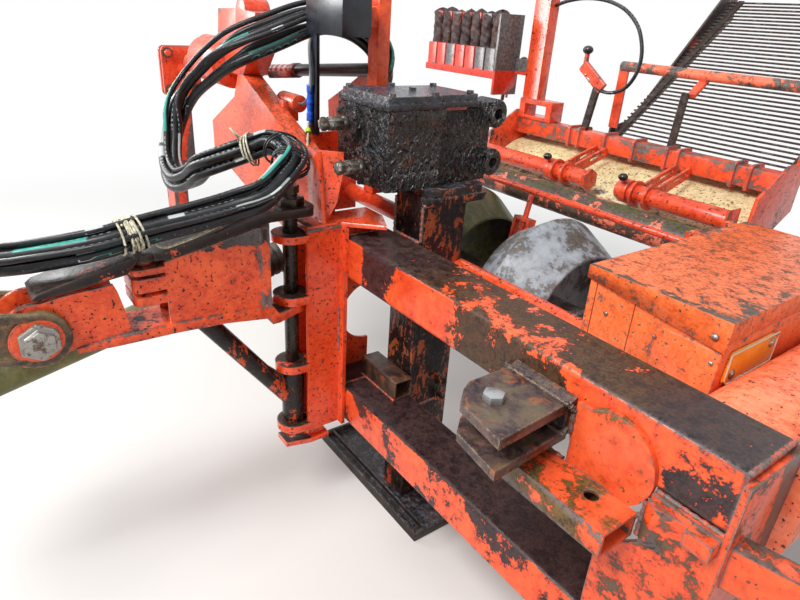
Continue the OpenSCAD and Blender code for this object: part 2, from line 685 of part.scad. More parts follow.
module far_wall() seated() color(paint) along_x(wall_far - wall_t, wall_t) {
  wall_outline(1190);
  wall_lug(gauge_y + 15, 60, gauge_z + 20);
  wall_lug(lever_y, lever_d + 10, lever_z + lever_d/2 + 5);
}
module share_plates() seated() color([0.85, 0.78, 0.55]) along_x(inner_far, inner_len)
  polygon([[960, 930], [1110, 1004], [1198, 1024], [1203, 1084], [1196, 1084], [1191, 1032],
    [1106, 1012], [956, 938]]);
// Sieving web between its own far wall and the near side plate
web_far = -100;
module sieving_web() seated() color(dark) {
  for (i = [0 : web_rods - 1])
    rod_x(web_far + seat, web_y + i*web_step[0], web_z + i*web_step[1], wall_near - web_far - 2*seat, rod_d);
  for (x = [web_far + 14, wall_near - 40]) along_x(x, 22)
    polygon([[web_y - 6, web_z - 8], [web_end_y + 6, web_end_z], [web_end_y, web_end_z + 8],
      [web_y - 12, web_z]]);
}
module web_wall() seated() color(rust) along_x(web_far - 8, 8) polygon([[1206, 1030], [web_end_y + 20,
  web_z + 0.75*(web_end_y - web_y) - 60], [web_end_y + 20, web_z + 0.75*(web_end_y - web_y) + 130],
  [web_y + 110, 1150], [1206, 1130]]);
module roller_axle() seated() color(steel) rod_x(inner_far, roller_y, roller_z, inner_len, axle_d);

roller_at = [-300, 110];
rim_t = 8;
module ridge_rollers() seated() color([0.7, 0.7, 0.7]) for (x = roller_at)
  translate([x, roller_y, roller_z]) rotate([0, 90, 0]) rotate_extrude($fn = 96) polygon([
    [axle_d/2 + 0.05, 0], [38, 0], [38, 96], [roller_d/2 - rim_t - 3, 96], [roller_d/2 - 60 - rim_t, 0],
    [roller_d/2 - 60, 0], [roller_d/2, 100], [roller_d/2 - 70, roller_w], [roller_d/2 - 70 - rim_t, roller_w],
    [roller_d/2 - rim_t - 3, 104], [38, 104], [38, roller_w], [axle_d/2 + 0.05, roller_w]]);

// Strut with the depth screw and its fork, between the axle and the gauge rod
screw_run = norm([gauge_y - roller_y, gauge_z - roller_z]);
screw_lean = atan2(gauge_y - roller_y, gauge_z - roller_z);
screw_x = 30;
module roller_screw() seated() color(paint) translate([screw_x, roller_y, roller_z])
  rotate([-screw_lean, 0, 0]) {
  translate([0, -14, axle_d/2 + seat]) cube([44, 28, 110]);
  difference() {
    translate([-12, -16, 120]) cube([68, 32, 112]);
    translate([0, -17, 132]) cube([44, 34, 88]);
  }
  translate([22, 0, 120]) cylinder(h = screw_run - gauge_d/2 - seat - 120, d = 18);
}
upright_x = wall_far + seat;
module upright() seated() color(paint) {
  translate([upright_x, bar_y + 5, bar_low + gauge_bar_w + 60]) cube([78, 50, 430]);
  difference() {
    translate([upright_x, bar_y - 5, bar_low + gauge_bar_w + seat]) cube([170, 70, 76]);
    translate([upright_x + 30, bar_y - 6, bar_low + gauge_bar_w + 14]) cube([110, 72, 44]);
  }
}
bank_x = -1000;
bank_z = 1250;
bank_y = 1010;
module valve_bank() seated() color(paint) {
  translate([bank_x, bank_y, bank_z]) cube([440, 110, 26]);
  for (i = [0 : 6]) {
    translate([bank_x + 6 + i*62, bank_y + 6, bank_z + 25]) cube([54, 90, 88]);
    translate([bank_x + 33 + i*62, bank_y + 50, bank_z + 112]) cylinder(h = 90, d1 = 46, d2 = 30, $fn = 24);
    translate([bank_x + 6 + i*62, bank_y + 26, bank_z + 201]) cube([54, 50, 38]);
  }
  translate([-561, bank_y, bank_z - 60]) cube([12, 130, 300]);
  translate([-550, bar_y + 5, bank_z + 20]) cube([550 + upright_x - seat, 40, 60]);
}

// Arm on the frame's far end, with its head, cross cylinders and bolted flange
module side_arm() seated() color(paint) {
  along_y(-30, 60) polygon([[-122.3, 840], [-122.3, 1096], [-216, 1109], [-340, 1156], [-596, 1266],
    [-640, 1262],
    [-680, 1190], [-900, 1080], [-900, 980], [-600, 900], [-300, 840]]);
  translate([-342, 29, 880]) cube([12, 200.7, 250]);
  rod_x(-500, 60, 1205, 110, 50);
  translate([-480, 20, 1150]) cube([60, 50, 60]);
}
module arm_head() seated() color(paint) {
  along_y(-30, 80) {
    polygon([[-596, 1266 + seat], [-492, 1378], [-485, 1446], [-632, 1454], [-774, 1449], [-792, 1360],
      [-760, 1262 + seat], [-640, 1262 + seat]]);
    translate([-591, 1446]) circle(36);
  }
  rod_x(-985, 0, 1322, 200, 80);
  translate([-985, 0, 1322]) sphere(d = 78);
  rod_x(-1150, 0, 1251, 200, 76);
  rod_x(-985, 0, 1282, 240, 150);
  rod_x(-1300, 0, 1215, 160, 44);
}
module side_leg() seated() color(paint) {
  for (x = [-1345, -1314]) along_x(x, 13.7) difference() {
    translate([-75, 1110]) round_box(150, 190, 20);
    translate([0, 1215]) circle(x < -1320 ? 34 : 10);
  }
  for (y = [-52, 52], z = [1135, 1275]) rod_x(-1376, y, z, 96, 24);
  translate([-1345, -35, 840]) cube([14, 70, 280]);
  translate([-1480, -60, 540]) cube([110, 60, 320]);
  translate([-1371, -60, 830]) cube([40, 60, 30]);
  translate([-1560, -45, 852]) cube([100, 40, 16]);
}
// Tube from the column to the arm's plate, and the mast that stands on it
module brace_bar() seated() color(paint) rod_x(-329.7, 210, 938, 329.7 + col_x - seat, 50);
mast_x = -240;
mast_w = 50;
module mast() seated() color(paint) {
  difference() {
    translate([mast_x, 200, 963 + seat]) cube([mast_w, 40, 600]);
    translate([mast_x + 4, 204, 975]) cube([mast_w - 8, 32, 600]);
  }
  along_y(230, 10) polygon([[mast_x + 1, 1340], [-385, 1262], [-519, 1195], [-512, 1105],
    [mast_x + 1, 1010]]);
  translate([mast_x, 149, 1430]) cube([40, 52, 50]);
  translate([-335, 239, 1180]) cube([96, 84, 60 - seat]);
}
module switch_box() seated() color(rubber) {
  translate([-345, 60, 1405]) cube([196, 89 - seat, 110]);
  translate([-330, 66, 1130]) cube([34, 10, 276]);
  translate([-342, 66, 1130 + seat]) cube([46, 10, 30]);
}

// Four hoses lashed in one bundle: route over the frame, then route along the drawbar
bundle_route = [
  [-288, 282, 1240], [-288, 282, 1300], [-292, 266, 1365], [-325, 212, 1418], [-387, 158, 1438],
  [-412, 90, 1430], [-430, 0, 1396], [-455, -92, 1354], [-530, -156, 1286], [-600, -205, 1210],
  [-622, -240, 1140], [-606, -270, 1062], [-560, -292, 1005], [-470, -300, 988], [-390, -284, 1015],
  [-330, -272, 1055], [-290, -228, 1082], [-258, -172, 1106], [-214, -122, 1130], [-145, -108, 1124],
  [-73, -130, 1112], [-20, -186, 1089], [12, -250, 1058], [-5, -310, 1038], [-16, -390, 1022],
  [-26, -460, 1011], [-30, -520, 1003]];
ends_route = [[-30, -529, 1001], [-30, -600, 990], [-60, -675, 974], [-110, -740, 954], [-165, -800, 936],
  [-202, -880, 922], [-215, -980, 912], [-215, -1080, 905], [-215, -1160, 905]];
bundle_r = 35;
function ring_dir(p, i) = let (a = p[max(i - 1, 0)], b = p[min(i + 1, len(p) - 1)]) (b - a)/norm(b - a);
// Ring of ten points about a route point, square to the route's direction
function ring_at(c, d) = let (s = cross(d, [0.2, -0.1, 0.97]), u = s/norm(s), v = cross(u, d))
  [for (k = [0 : 9]) c + bundle_r*(cos(36*k)*u + sin(36*k)*v)];
module swept(p) {
  rings = [for (i = [0 : len(p) - 1]) ring_at(p[i], ring_dir(p, i))];
  n = len(p);
  polyhedron(points = [for (r = rings, q = r) q], faces = concat([[for (k = [0 : 9]) k]],
    [[for (k = [9 : -1 : 0]) 10*(n - 1) + k]],
    [for (i = [0 : n - 2], k = [0 : 9]) [10*i + k, 10*i + 10 + k, 10*i + 10 + (k + 1)%10, 10*i + (k + 1)%10]]));
}
module hose_bundle() seated() color(rubber) swept(bundle_route);
module hose_ends() seated() color(rubber) swept(ends_route);
// Quick couplings on the hoses' front ends
coupling_len = 72;
module couplings() seated() color(steel) for (dx = [-16, 16], dz = [-16, 16])
  rod_y(-215 + dx, -1160 - seat - coupling_len, 905 + dz, coupling_len, 29);

post();
upper_beam();
lower_beam();
end_plate();
side_member();
clevis();
clevis_bolt();
shelf_tube();
receiver();
column();
stand_leg();
stand_foot();
gearbox();
gearbox_cover();
upper_shaft();
lower_shaft();
drive_tube();
guard_box();
guard_lid();
reflector();
hinge_pin();
tongue();
top_bar();
brace_tube();
hitch_link();
hitch_bolt();
shaft_guard();
shaft_cones();
cross_tube();
gauge_rod();
lever_tubes();
lever_arms();
gauge_bar();
near_wall();
far_wall();
share_plates();
sieving_web();
web_wall();
roller_axle();
ridge_rollers();
roller_screw();
upright();
valve_bank();
side_arm();
arm_head();
side_leg();
brace_bar();
mast();
switch_box();
hose_bundle();
hose_ends();
couplings();
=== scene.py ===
# Front frame, drawbar and intake of a trailed potato digger, dressed for the photo's view.
# Places are given in millimetres on the machine: X to its left side, Y rearwards, Z above the ground.
import math
import bmesh
import bpy
import numpy as np
from mathutils import Matrix, Vector


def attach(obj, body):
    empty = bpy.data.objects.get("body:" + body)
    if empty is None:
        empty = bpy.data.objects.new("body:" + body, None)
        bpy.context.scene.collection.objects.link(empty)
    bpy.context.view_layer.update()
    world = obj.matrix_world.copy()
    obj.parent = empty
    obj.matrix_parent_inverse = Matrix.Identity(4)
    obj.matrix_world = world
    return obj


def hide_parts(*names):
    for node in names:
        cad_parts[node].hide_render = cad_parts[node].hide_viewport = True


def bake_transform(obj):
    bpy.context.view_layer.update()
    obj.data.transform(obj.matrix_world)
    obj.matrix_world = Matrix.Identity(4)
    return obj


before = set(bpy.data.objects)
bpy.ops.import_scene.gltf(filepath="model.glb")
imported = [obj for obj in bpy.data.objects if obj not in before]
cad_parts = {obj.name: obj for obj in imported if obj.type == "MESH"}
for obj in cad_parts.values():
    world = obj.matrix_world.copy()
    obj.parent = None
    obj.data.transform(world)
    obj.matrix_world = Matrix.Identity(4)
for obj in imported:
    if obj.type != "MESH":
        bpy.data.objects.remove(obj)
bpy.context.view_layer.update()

# Camera of a phone held at head height in front of the drawbar, looking down and across to the far
# side. The lens is given for a picture 800 pixels wide. The held point is the side member's end.
HELD = np.array((1010.0, 1300.0, 770.0))
FOCAL_PX, PICTURE_PX, SENSOR_MM = 602.8, 800, 36.0
YAW, PITCH, ROLL = (math.radians(a) for a in (142.718, 25.441, -3.699))


def site(*place):
    """Machine millimetres, one point or an array of them, as metres in the row frame."""
    return (np.array(place if len(place) > 1 else place[0], float) - HELD) / 1000


forward = Vector((math.cos(PITCH) * math.cos(YAW), math.cos(PITCH) * math.sin(YAW), -math.sin(PITCH)))
level = forward.cross(Vector((0, 0, 1))).normalized()
down = forward.cross(level)
right = math.cos(ROLL) * level + math.sin(ROLL) * down
below = -math.sin(ROLL) * level + math.cos(ROLL) * down
lens = bpy.data.cameras.new("camera")
lens.lens, lens.sensor_width = FOCAL_PX / PICTURE_PX * SENSOR_MM, SENSOR_MM
lens.clip_start, lens.clip_end = 0.05, 80
camera = bpy.data.objects.new("camera", lens)
bpy.context.scene.collection.objects.link(camera)
camera.matrix_world = Matrix((right, -below, -forward)).transposed().to_4x4()
camera.matrix_world.translation = site(1312, -810, 1470)
bpy.context.scene.camera = camera

# Six hydraulic hoses of black rubber over steel braid. They come up from a block on the mast, pass
# behind the switch box, fall in front of the side arm, loop over the hinge and run out along the
# drawbar, lashed together. Their front ends carry quick couplings.
BUNDLE_ROUTE = [
    (-288, 282, 1240), (-288, 282, 1300), (-292, 266, 1365), (-325, 212, 1418), (-387, 158, 1438),
    (-412, 90, 1430), (-430, 0, 1396), (-455, -92, 1354), (-530, -156, 1286), (-600, -205, 1210),
    (-622, -240, 1140), (-606, -270, 1062), (-560, -292, 1005), (-470, -300, 988), (-390, -284, 1015),
    (-330, -272, 1055), (-290, -228, 1082), (-258, -172, 1106), (-214, -122, 1130), (-145, -108, 1124),
    (-73, -130, 1112), (-20, -186, 1089), (12, -250, 1058), (-5, -310, 1038), (-16, -390, 1022),
    (-26, -460, 1011), (-30, -520, 1003), (-30, -529, 1001), (-30, -600, 990), (-60, -675, 974),
    (-110, -740, 954), (-165, -800, 936), (-202, -880, 922), (-215, -980, 912), (-215, -1080, 905),
    (-215, -1160, 905)]
# Columns: diameter, sideways and upward place in the bundle, band colour, where the bands start
HOSES = [
    (28, -15, 14, (38, 148, 132), 0.10), (26, 15, 15, (170, 175, 170), 0.22),
    (28, -14, -15, (38, 148, 132), 0.35), (24, 15, -14, (60, 70, 72), 0.05),
    (15, 1, 35, (38, 148, 132), 0.62), (14, -36, 16, (150, 155, 152), 0.81)]
HOSE_SIDES = 20
# Distance along and radius of a crimped ferrule, its nut, the sliding sleeve and the plug
COUPLING = [(-14, 15), (-12, 16), (10, 16), (12, 14), (22, 14), (23, 15.5), (44, 15.5), (46, 13), (50, 13),
            (51, 10), (70, 10), (72, 8.5)]
WIDEST = 28
# Turn at which a hose's print and bands lie, and half their widths, as shares of a turn
PRINT_TURN, PRINT_HALF, BAND_HALF = 0.2, 0.035, 0.13


def tint(red, green, blue):
    """A colour as it looks on a screen, 0 to 255, as the linear values a shader takes."""
    shares = [c / 255 for c in (red, green, blue)]
    return tuple(((c + 0.055) / 1.055) ** 2.4 if c > 0.04045 else c / 12.92 for c in shares) + (1,)


def math_node(kind):
    """A method that adds a Math node of one kind, with the wire itself as its first input."""
    def added(self, *others):
        return self.finish.node("Math", {"operation": kind}, dict(enumerate((self, *others))))
    return added


class Wire:
    """An output in a finish's node tree. Arithmetic on it adds Math nodes."""

    def __init__(self, finish, socket):
        self.finish, self.socket = finish, socket

    __add__, __sub__, __mul__, __pow__, most, size, wave = (math_node(kind) for kind in (
        "ADD", "SUBTRACT", "MULTIPLY", "POWER", "MAXIMUM", "ABSOLUTE", "SINE"))
    __radd__, __rmul__ = __add__, __mul__

    def __rsub__(self, other):
        return self.finish.node("Math", {"operation": "SUBTRACT"}, {0: other, 1: self})

    def ramp(self, low, high):
        """0 below low, 1 above high, eased between."""
        return self.finish.node("MapRange", {"interpolation_type": "SMOOTHSTEP"},
                                {"Value": self, "From Min": low, "From Max": high})


class Finish:
    """A material with one shader, and the ways that this machine's finishes are put together."""

    def __init__(self, name, **fixed):
        self.material = bpy.data.materials.new(name)
        self.material.use_nodes = True
        self.tree = self.material.node_tree
        self.shader = self.tree.nodes["Principled BSDF"]
        for socket, value in fixed.items():
            self.shader.inputs[socket.replace("_", " ")].default_value = value
        self.coords = self.node("TexCoord", {}, {}, "Object")

    def node(self, kind, settings, sockets, out=0):
        made = self.tree.nodes.new("ShaderNode" + kind)
        for key, value in settings.items():
            setattr(made, key, value)
        for key, value in sockets.items():
            if isinstance(value, Wire):
                self.tree.links.new(value.socket, made.inputs[key])
            else:
                made.inputs[key].default_value = value
        return Wire(self, made.outputs[out])

    def put(self, socket, wire):
        self.tree.links.new(wire.socket, self.shader.inputs[socket])

    def axes(self):
        """X, Y and Z on the machine, in metres."""
        return self.parts(self.node("VectorMath", {"operation": "ADD"}, {
            0: self.coords, 1: tuple(HELD / 1000)}))

    def parts(self, vector):
        split = self.node("SeparateXYZ", {}, {0: vector}).socket.node
        return [Wire(self, output) for output in split.outputs]

    def noise(self, scale, detail=5, rough=0.6, twist=0.0, stretch=None, away=0.0):
        where = self.coords
        if stretch or away:
            where = self.node("Mapping", {}, {
                "Vector": self.coords, "Location": (away, away, away), "Scale": stretch or (1, 1, 1)})
        return self.node("TexNoise", {"noise_dimensions": "3D"}, {
            "Vector": where, "Scale": scale, "Detail": detail, "Roughness": rough, "Distortion": twist})

    def mix(self, mask, low, high):
        """Colour low where the mask is 0, and high where it is 1."""
        return self.node("Mix", {"data_type": "RGBA"}, {0: mask, 6: low, 7: high}, 2)

    def between(self, mask, pair):
        """The first of two screen colours where the mask is 0, and the second where it is 1."""
        return self.mix(mask, tint(*pair[0]), tint(*pair[1]))

    def edges(self, width):
        """1 on corners and 0 on flats, from how far a normal rounded over that width leaves the true one."""
        bent = self.node("Bevel", {"samples": 4}, {"Radius": width})
        flat = self.node("NewGeometry", {}, {}, "True Normal")
        along = self.node("VectorMath", {"operation": "DOT_PRODUCT"}, {0: bent, 1: flat}, "Value")
        return ((1 - along) * 9).ramp(0.1, 1.0)

    def bump(self, height, depth):
        bumped = self.node("Bump", {}, {"Height": height, "Distance": depth, "Strength": 1.0})
        self.put("Normal", bumped)


def smooth_path(points, step):
    """Points every step metres or so on the Catmull-Rom curve through the given ones: between two of
    them, a cubic in which each end's direction is half the chord between its neighbours."""
    p = np.vstack((2 * points[0] - points[1], points, 2 * points[-1] - points[-2]))
    spans = []
    for a, b, c, d in zip(p, p[1:], p[2:], p[3:]):
        count = max(2, int(np.linalg.norm(c - b) / step))
        t = (np.arange(count) / count)[:, None]
        spans.append(b + 0.5 * t * (c - a + t * (2 * a - 5 * b + 4 * c - d + t * (3 * (b - c) + d - a))))
    return np.vstack(spans + [points[-1:]])


def travelled(path):
    """Distance along a path at each of its points, in metres."""
    return np.concatenate(([0], np.cumsum(np.linalg.norm(np.diff(path, axis=0), axis=1))))


def frames(path, up=(0.2, -0.1, 0.97)):
    """Unit directions along a path, and two unit vectors square to each: one level, one upward."""
    ahead = np.gradient(path, axis=0)
    ahead /= np.linalg.norm(ahead, axis=1)[:, None]
    side = np.cross(ahead, up)
    side /= np.linalg.norm(side, axis=1)[:, None]
    return ahead, side, np.cross(side, ahead)


def tube(path, radius, sides):
    """Grid of a round tube: at each path point, a circle of that radius square to the path. Both ends
    are closed by a ring of radius nought."""
    _, side, lift = frames(path)
    turn = np.linspace(0, 2 * np.pi, sides, endpoint=False)[None, :, None]
    reach = np.broadcast_to(np.asarray(radius, float).reshape(-1, 1, 1), (len(path), 1, 1))
    rings = path[:, None] + reach * (np.cos(turn) * side[:, None] + np.sin(turn) * lift[:, None])
    ends = [np.repeat(path[i:i + 1, None], sides, axis=1) for i in (0, -1)]
    return np.concatenate((ends[0], rings, ends[1]))


def turned(start, axis, profile, sides=20, shape=1.0):
    """Grid of a turned piece: rings at (distance along the axis, radius), in mm from a start in metres.
    The radius at each side may be scaled by a shape, which is one number or one for each side."""
    axis = np.array(axis, float) / np.linalg.norm(axis)
    side = np.cross(axis, (0.31, 0.2, 0.93))
    side /= np.linalg.norm(side)
    lift = np.cross(axis, side)
    turn = np.linspace(0, 2 * np.pi, sides, endpoint=False)
    rows = np.array([(profile[0][0], 0)] + list(profile) + [(profile[-1][0], 0)], float) / 1000
    ring = np.cos(turn)[:, None] * side + np.sin(turn)[:, None] * lift
    reach = rows[:, 1:] * np.broadcast_to(shape, (1, sides))
    return np.asarray(start) + rows[:, :1, None] * axis + reach[:, :, None] * ring


def skin(name, grids, material, body="frame", smooth=True):
    """One mesh from grids of points (rows, columns, 3), each closed round its columns. Rows of one
    place become a pole, and faces are turned outwards. It rides on its body, if one is named."""
    points, faces, start = [], [], 0
    for grid in grids:
        rows, columns = grid.shape[:2]
        index = start + np.arange(rows * columns).reshape(rows, columns)
        ahead = np.roll(index, -1, axis=1)
        faces.append(np.stack((index[:-1], ahead[:-1], ahead[1:], index[1:]), axis=-1).reshape(-1, 4))
        points.append(grid.reshape(-1, 3))
        start += rows * columns
    mesh = bpy.data.meshes.new(name)
    mesh.from_pydata(np.concatenate(points).tolist(), [], np.concatenate(faces).tolist())
    work = bmesh.new()
    work.from_mesh(mesh)
    bmesh.ops.remove_doubles(work, verts=work.verts, dist=1e-6)
    bmesh.ops.recalc_face_normals(work, faces=work.faces)
    work.to_mesh(mesh)
    work.free()
    mesh.polygons.foreach_set("use_smooth", [smooth] * len(mesh.polygons))
    made = bpy.data.objects.new(name, mesh)
    bpy.context.scene.collection.objects.link(made)
    mesh.materials.append(material)
    if body:
        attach(made, body)
    return made


def along_hose(made, path):
    """Attribute 'run': metres along the hose at each vertex, from the nearest path point, and 'turn':
    the share of a turn round it."""
    co = np.zeros(len(made.data.vertices) * 3)
    made.data.vertices.foreach_get("co", co)
    co = co.reshape(-1, 3)
    closest = np.concatenate([np.argmin(np.linalg.norm(part[:, None] - path[None], axis=2), axis=1)
                              for part in np.array_split(co, 40)])
    _, side, lift = frames(path)
    out = co - path[closest]
    turn = np.arctan2((out * lift[closest]).sum(1), (out * side[closest]).sum(1)) / (2 * np.pi)
    for name, values in (("run", travelled(path)[closest]), ("turn", turn)):
        kept = made.data.attributes.new(name, "FLOAT", "POINT")
        kept.data.foreach_set("value", values.astype(np.float32))


def hose_rubber(name, band, start):
    """Glossy black cover with faint wraps, a broken printed line along it, short pale tags and a
    coloured band now and then, and dust on top."""
    f = Finish(name, Roughness=0.34, Specular_IOR_Level=0.36, Coat_Weight=0.12, Coat_Roughness=0.2)
    run, turn = (f.node("Attribute", {"attribute_name": kept}, {}, "Fac")
                 for kept in ("run", "turn"))
    off = (turn - PRINT_TURN).size()
    line = 1 - off.ramp(PRINT_HALF - 0.005, PRINT_HALF + 0.005)
    dashes = (run * 420).wave().ramp(0.0, 0.1) * (run * 23).wave().ramp(-0.2, 0.0)
    tag = (run * 9 + start * 20).wave().ramp(0.985, 0.99) * (1 - off.ramp(BAND_HALF, BAND_HALF + 0.01))
    outside = off.ramp(BAND_HALF - 0.01, BAND_HALF + 0.01)
    stripe = (run * 7.5 + start * 31).wave().ramp(0.83, 0.84) * (1 - outside)
    dust = f.noise(35, 6, 0.7)
    black = f.between(dust.ramp(0.35, 0.75), ((8, 9, 12), (32, 33, 38)))
    banded = f.mix(stripe * 0.95 * dust.ramp(0.2, 0.3), black, tint(*band))
    tagged = f.mix(tag * 0.8, banded, tint(196, 200, 200))
    f.put("Base Color", f.mix(line * dashes * 0.55, tagged, tint(176, 178, 176)))
    f.put("Roughness", dust.ramp(0.3, 0.8) * 0.3 + 0.25)
    f.bump((run * 2600).wave() * 0.15 + dust, 0.0006)
    return f.material


route = smooth_path(site(BUNDLE_ROUTE), 0.012)
travel = travelled(route)
# The hoses fan out between their block and the first lashing, and lie close where they are tied
FAN_END = 0.95
spread = 1 + 0.7 * np.sin(np.pi * np.clip(travel / FAN_END, 0, 1)) ** 2 + 0.4 * np.clip(
    (travel - travel[-1] + 0.2) / 0.2, 0, 1)
_, level_way, up_way = frames(route)
crimped = Finish("coupling_steel", Metallic=0.85)
scuffs = crimped.noise(90, 5, 0.65)
crimped.put("Base Color", crimped.between(scuffs.ramp(0.5, 0.65), ((168, 168, 164), (92, 82, 66))))
crimped.put("Roughness", scuffs * 0.4 + 0.2)
coupling_steel = crimped.material
for number, (width, aside, above, band, start) in enumerate(HOSES):
    wander = 1 + 0.12 * np.sin(travel * 7 + 2 * number)
    path = route + (level_way * aside + up_way * above) * (spread * wander / 1000)[:, None]
    rubber = hose_rubber(f"hose_rubber_{number + 1}", band, start)
    hose = skin(f"hose_{number + 1}", [tube(path, width / 2000, HOSE_SIDES)], rubber, None)
    along_hose(hose, path)
    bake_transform(hose)
    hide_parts("hose_bundle", "hose_ends")
    fitting = [(along, radius * width / WIDEST) for along, radius in COUPLING]
    ferrule = skin(f"coupling_{number + 1}", [turned(path[-1], (0, -1, 0), fitting, 24)], coupling_steel,
                   "drawbar")
    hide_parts("couplings")

# Lashings: cream baler twine round the hoses on the drawbar and at the loop, and black cable ties
# pulled tight where the loop turns. The twine's tail is laid along the top bar.
SQUEEZED = 0.85


def wound(middle, turns, pitch, radius):
    """A helix round the bundle: at angle a, the route's point, plus its side times radius cos a and
    its lift times squeezed radius sin a, moved along the route by the pitch each turn."""
    turn = np.linspace(0, 2 * np.pi * turns, int(26 * turns) + 1)
    at = travel[middle] + pitch * (turn / (2 * np.pi) - turns / 2)
    here = np.stack([np.interp(at, travel, route[:, axis]) for axis in range(3)], axis=1)
    side, lift = level_way[middle], up_way[middle]
    loose = radius * (1 + 0.05 * np.sin(turn * 2.3))
    return here + (loose * np.cos(turn))[:, None] * side + (loose * SQUEEZED * np.sin(turn))[:, None] * lift


def nearest(*place):
    return int(np.argmin(np.linalg.norm(route - site(*place), axis=1)))


def fibre(name, colours, rough):
    """Twisted twine or ribbed nylon: fine slanting ridges, and dirt in patches."""
    f = Finish(name, Roughness=rough)
    dirt, ridge = f.noise(120, 5, 0.7), f.noise(700, 2, 0.5, stretch=(1, 0.3, 1))
    f.put("Base Color", f.between((dirt * 0.7 + ridge * 0.3).ramp(0.4, 0.62), colours))
    f.bump(ridge, 0.0006)
    return f.material


twine = fibre("twine_cream", ((158, 150, 124), (222, 215, 192)), 0.8)
nylon = fibre("tie_black", ((14, 14, 15), (34, 34, 36)), 0.45)
on_bar, at_loop, at_turn = nearest(-30, -545, 999), nearest(-250, -160, 1110), nearest(-125, -110, 1122)
TAIL_ROUTE = [(-62, -523, 1001), (-40, -500, 988), (-22, -478, 962), (-16, -430, 970), (-24, -360, 986),
              (-40, -300, 1000), (-44, -268, 1008)]
tail = smooth_path(site(TAIL_ROUTE), 0.006)
# Radii in metres. A winding is a place on the route, turns, pitch and radius
TWINE, TAIL, TIE = 0.0027, 0.0034, 0.0026
ON_BAR = [(on_bar, 4.3, 0.006, 0.041), (on_bar - 1, 2.6, -0.011, 0.043), (on_bar + 1, 1.7, 0.017, 0.044)]
AT_TURN = [(at_turn + step, 1.04, 0.002, size)
           for step, size in ((-4, 0.049), (-3, 0.05), (3, 0.045), (4, 0.046), (5, 0.045))]
BOW = [(-250, -190, 1148), (-262, -206, 1166), (-246, -214, 1170), (-238, -202, 1152), (-256, -190, 1128),
       (-250, -196, 1100)]
skin("twine_on_bar", [tube(wound(*winding), TWINE, 7) for winding in ON_BAR], twine, "drawbar")
loose_end = skin("twine_tail", [tube(tail, TAIL, 9)], twine, "drawbar")
skin("twine_at_loop", [tube(wound(at_loop, 2.4, 0.008, 0.048), TWINE, 7),
                       tube(smooth_path(site(BOW), 0.005), TWINE, 7)], twine)
skin("cable_ties", [tube(wound(*winding), TIE, 7) for winding in AT_TURN], nylon)

# Cross beams, hinge post and end plate: box sections and thick plate, welded. They were sprayed
# orange. Oil and soil have darkened the upward faces, boots and chains have scraped them bare, and the
# front faces keep most of their paint near the post.
PAINT = ((212, 60, 24), (246, 98, 46))
OILY = ((22, 15, 15), (58, 42, 37))
PURPLE = ((25, 17, 20), (66, 48, 48))
EARTHY = ((28, 19, 15), (84, 55, 34))
UP_FROM, UP_TO = 0.55, 0.9
# How much each noise says in where the metal shows, and the sum at which the paint is gone
PATCH, FINE, SPECK, PAINT_LEFT, BARE_FROM = 0.86, 0.38, 0.2, 0.135, 0.7


def facing(f, axis):
    """How far the surface faces along an axis, -1 to 1, from its true normal."""
    return f.parts(f.node("NewGeometry", {}, {}, "True Normal"))[axis]


def upward(f):
    """1 on what faces up, and 0 on walls."""
    return facing(f, 2).ramp(UP_FROM, UP_TO)


def frontward(f, low, high):
    """1 on what faces the tractor, and 0 on the rest."""
    return (0 - facing(f, 1)).ramp(low, high)


def within(wire, low, high, soft):
    """1 between two values and 0 outside, eased over the soft width."""
    return wire.ramp(low - soft, low + soft) * (1 - wire.ramp(high - soft, high + soft))


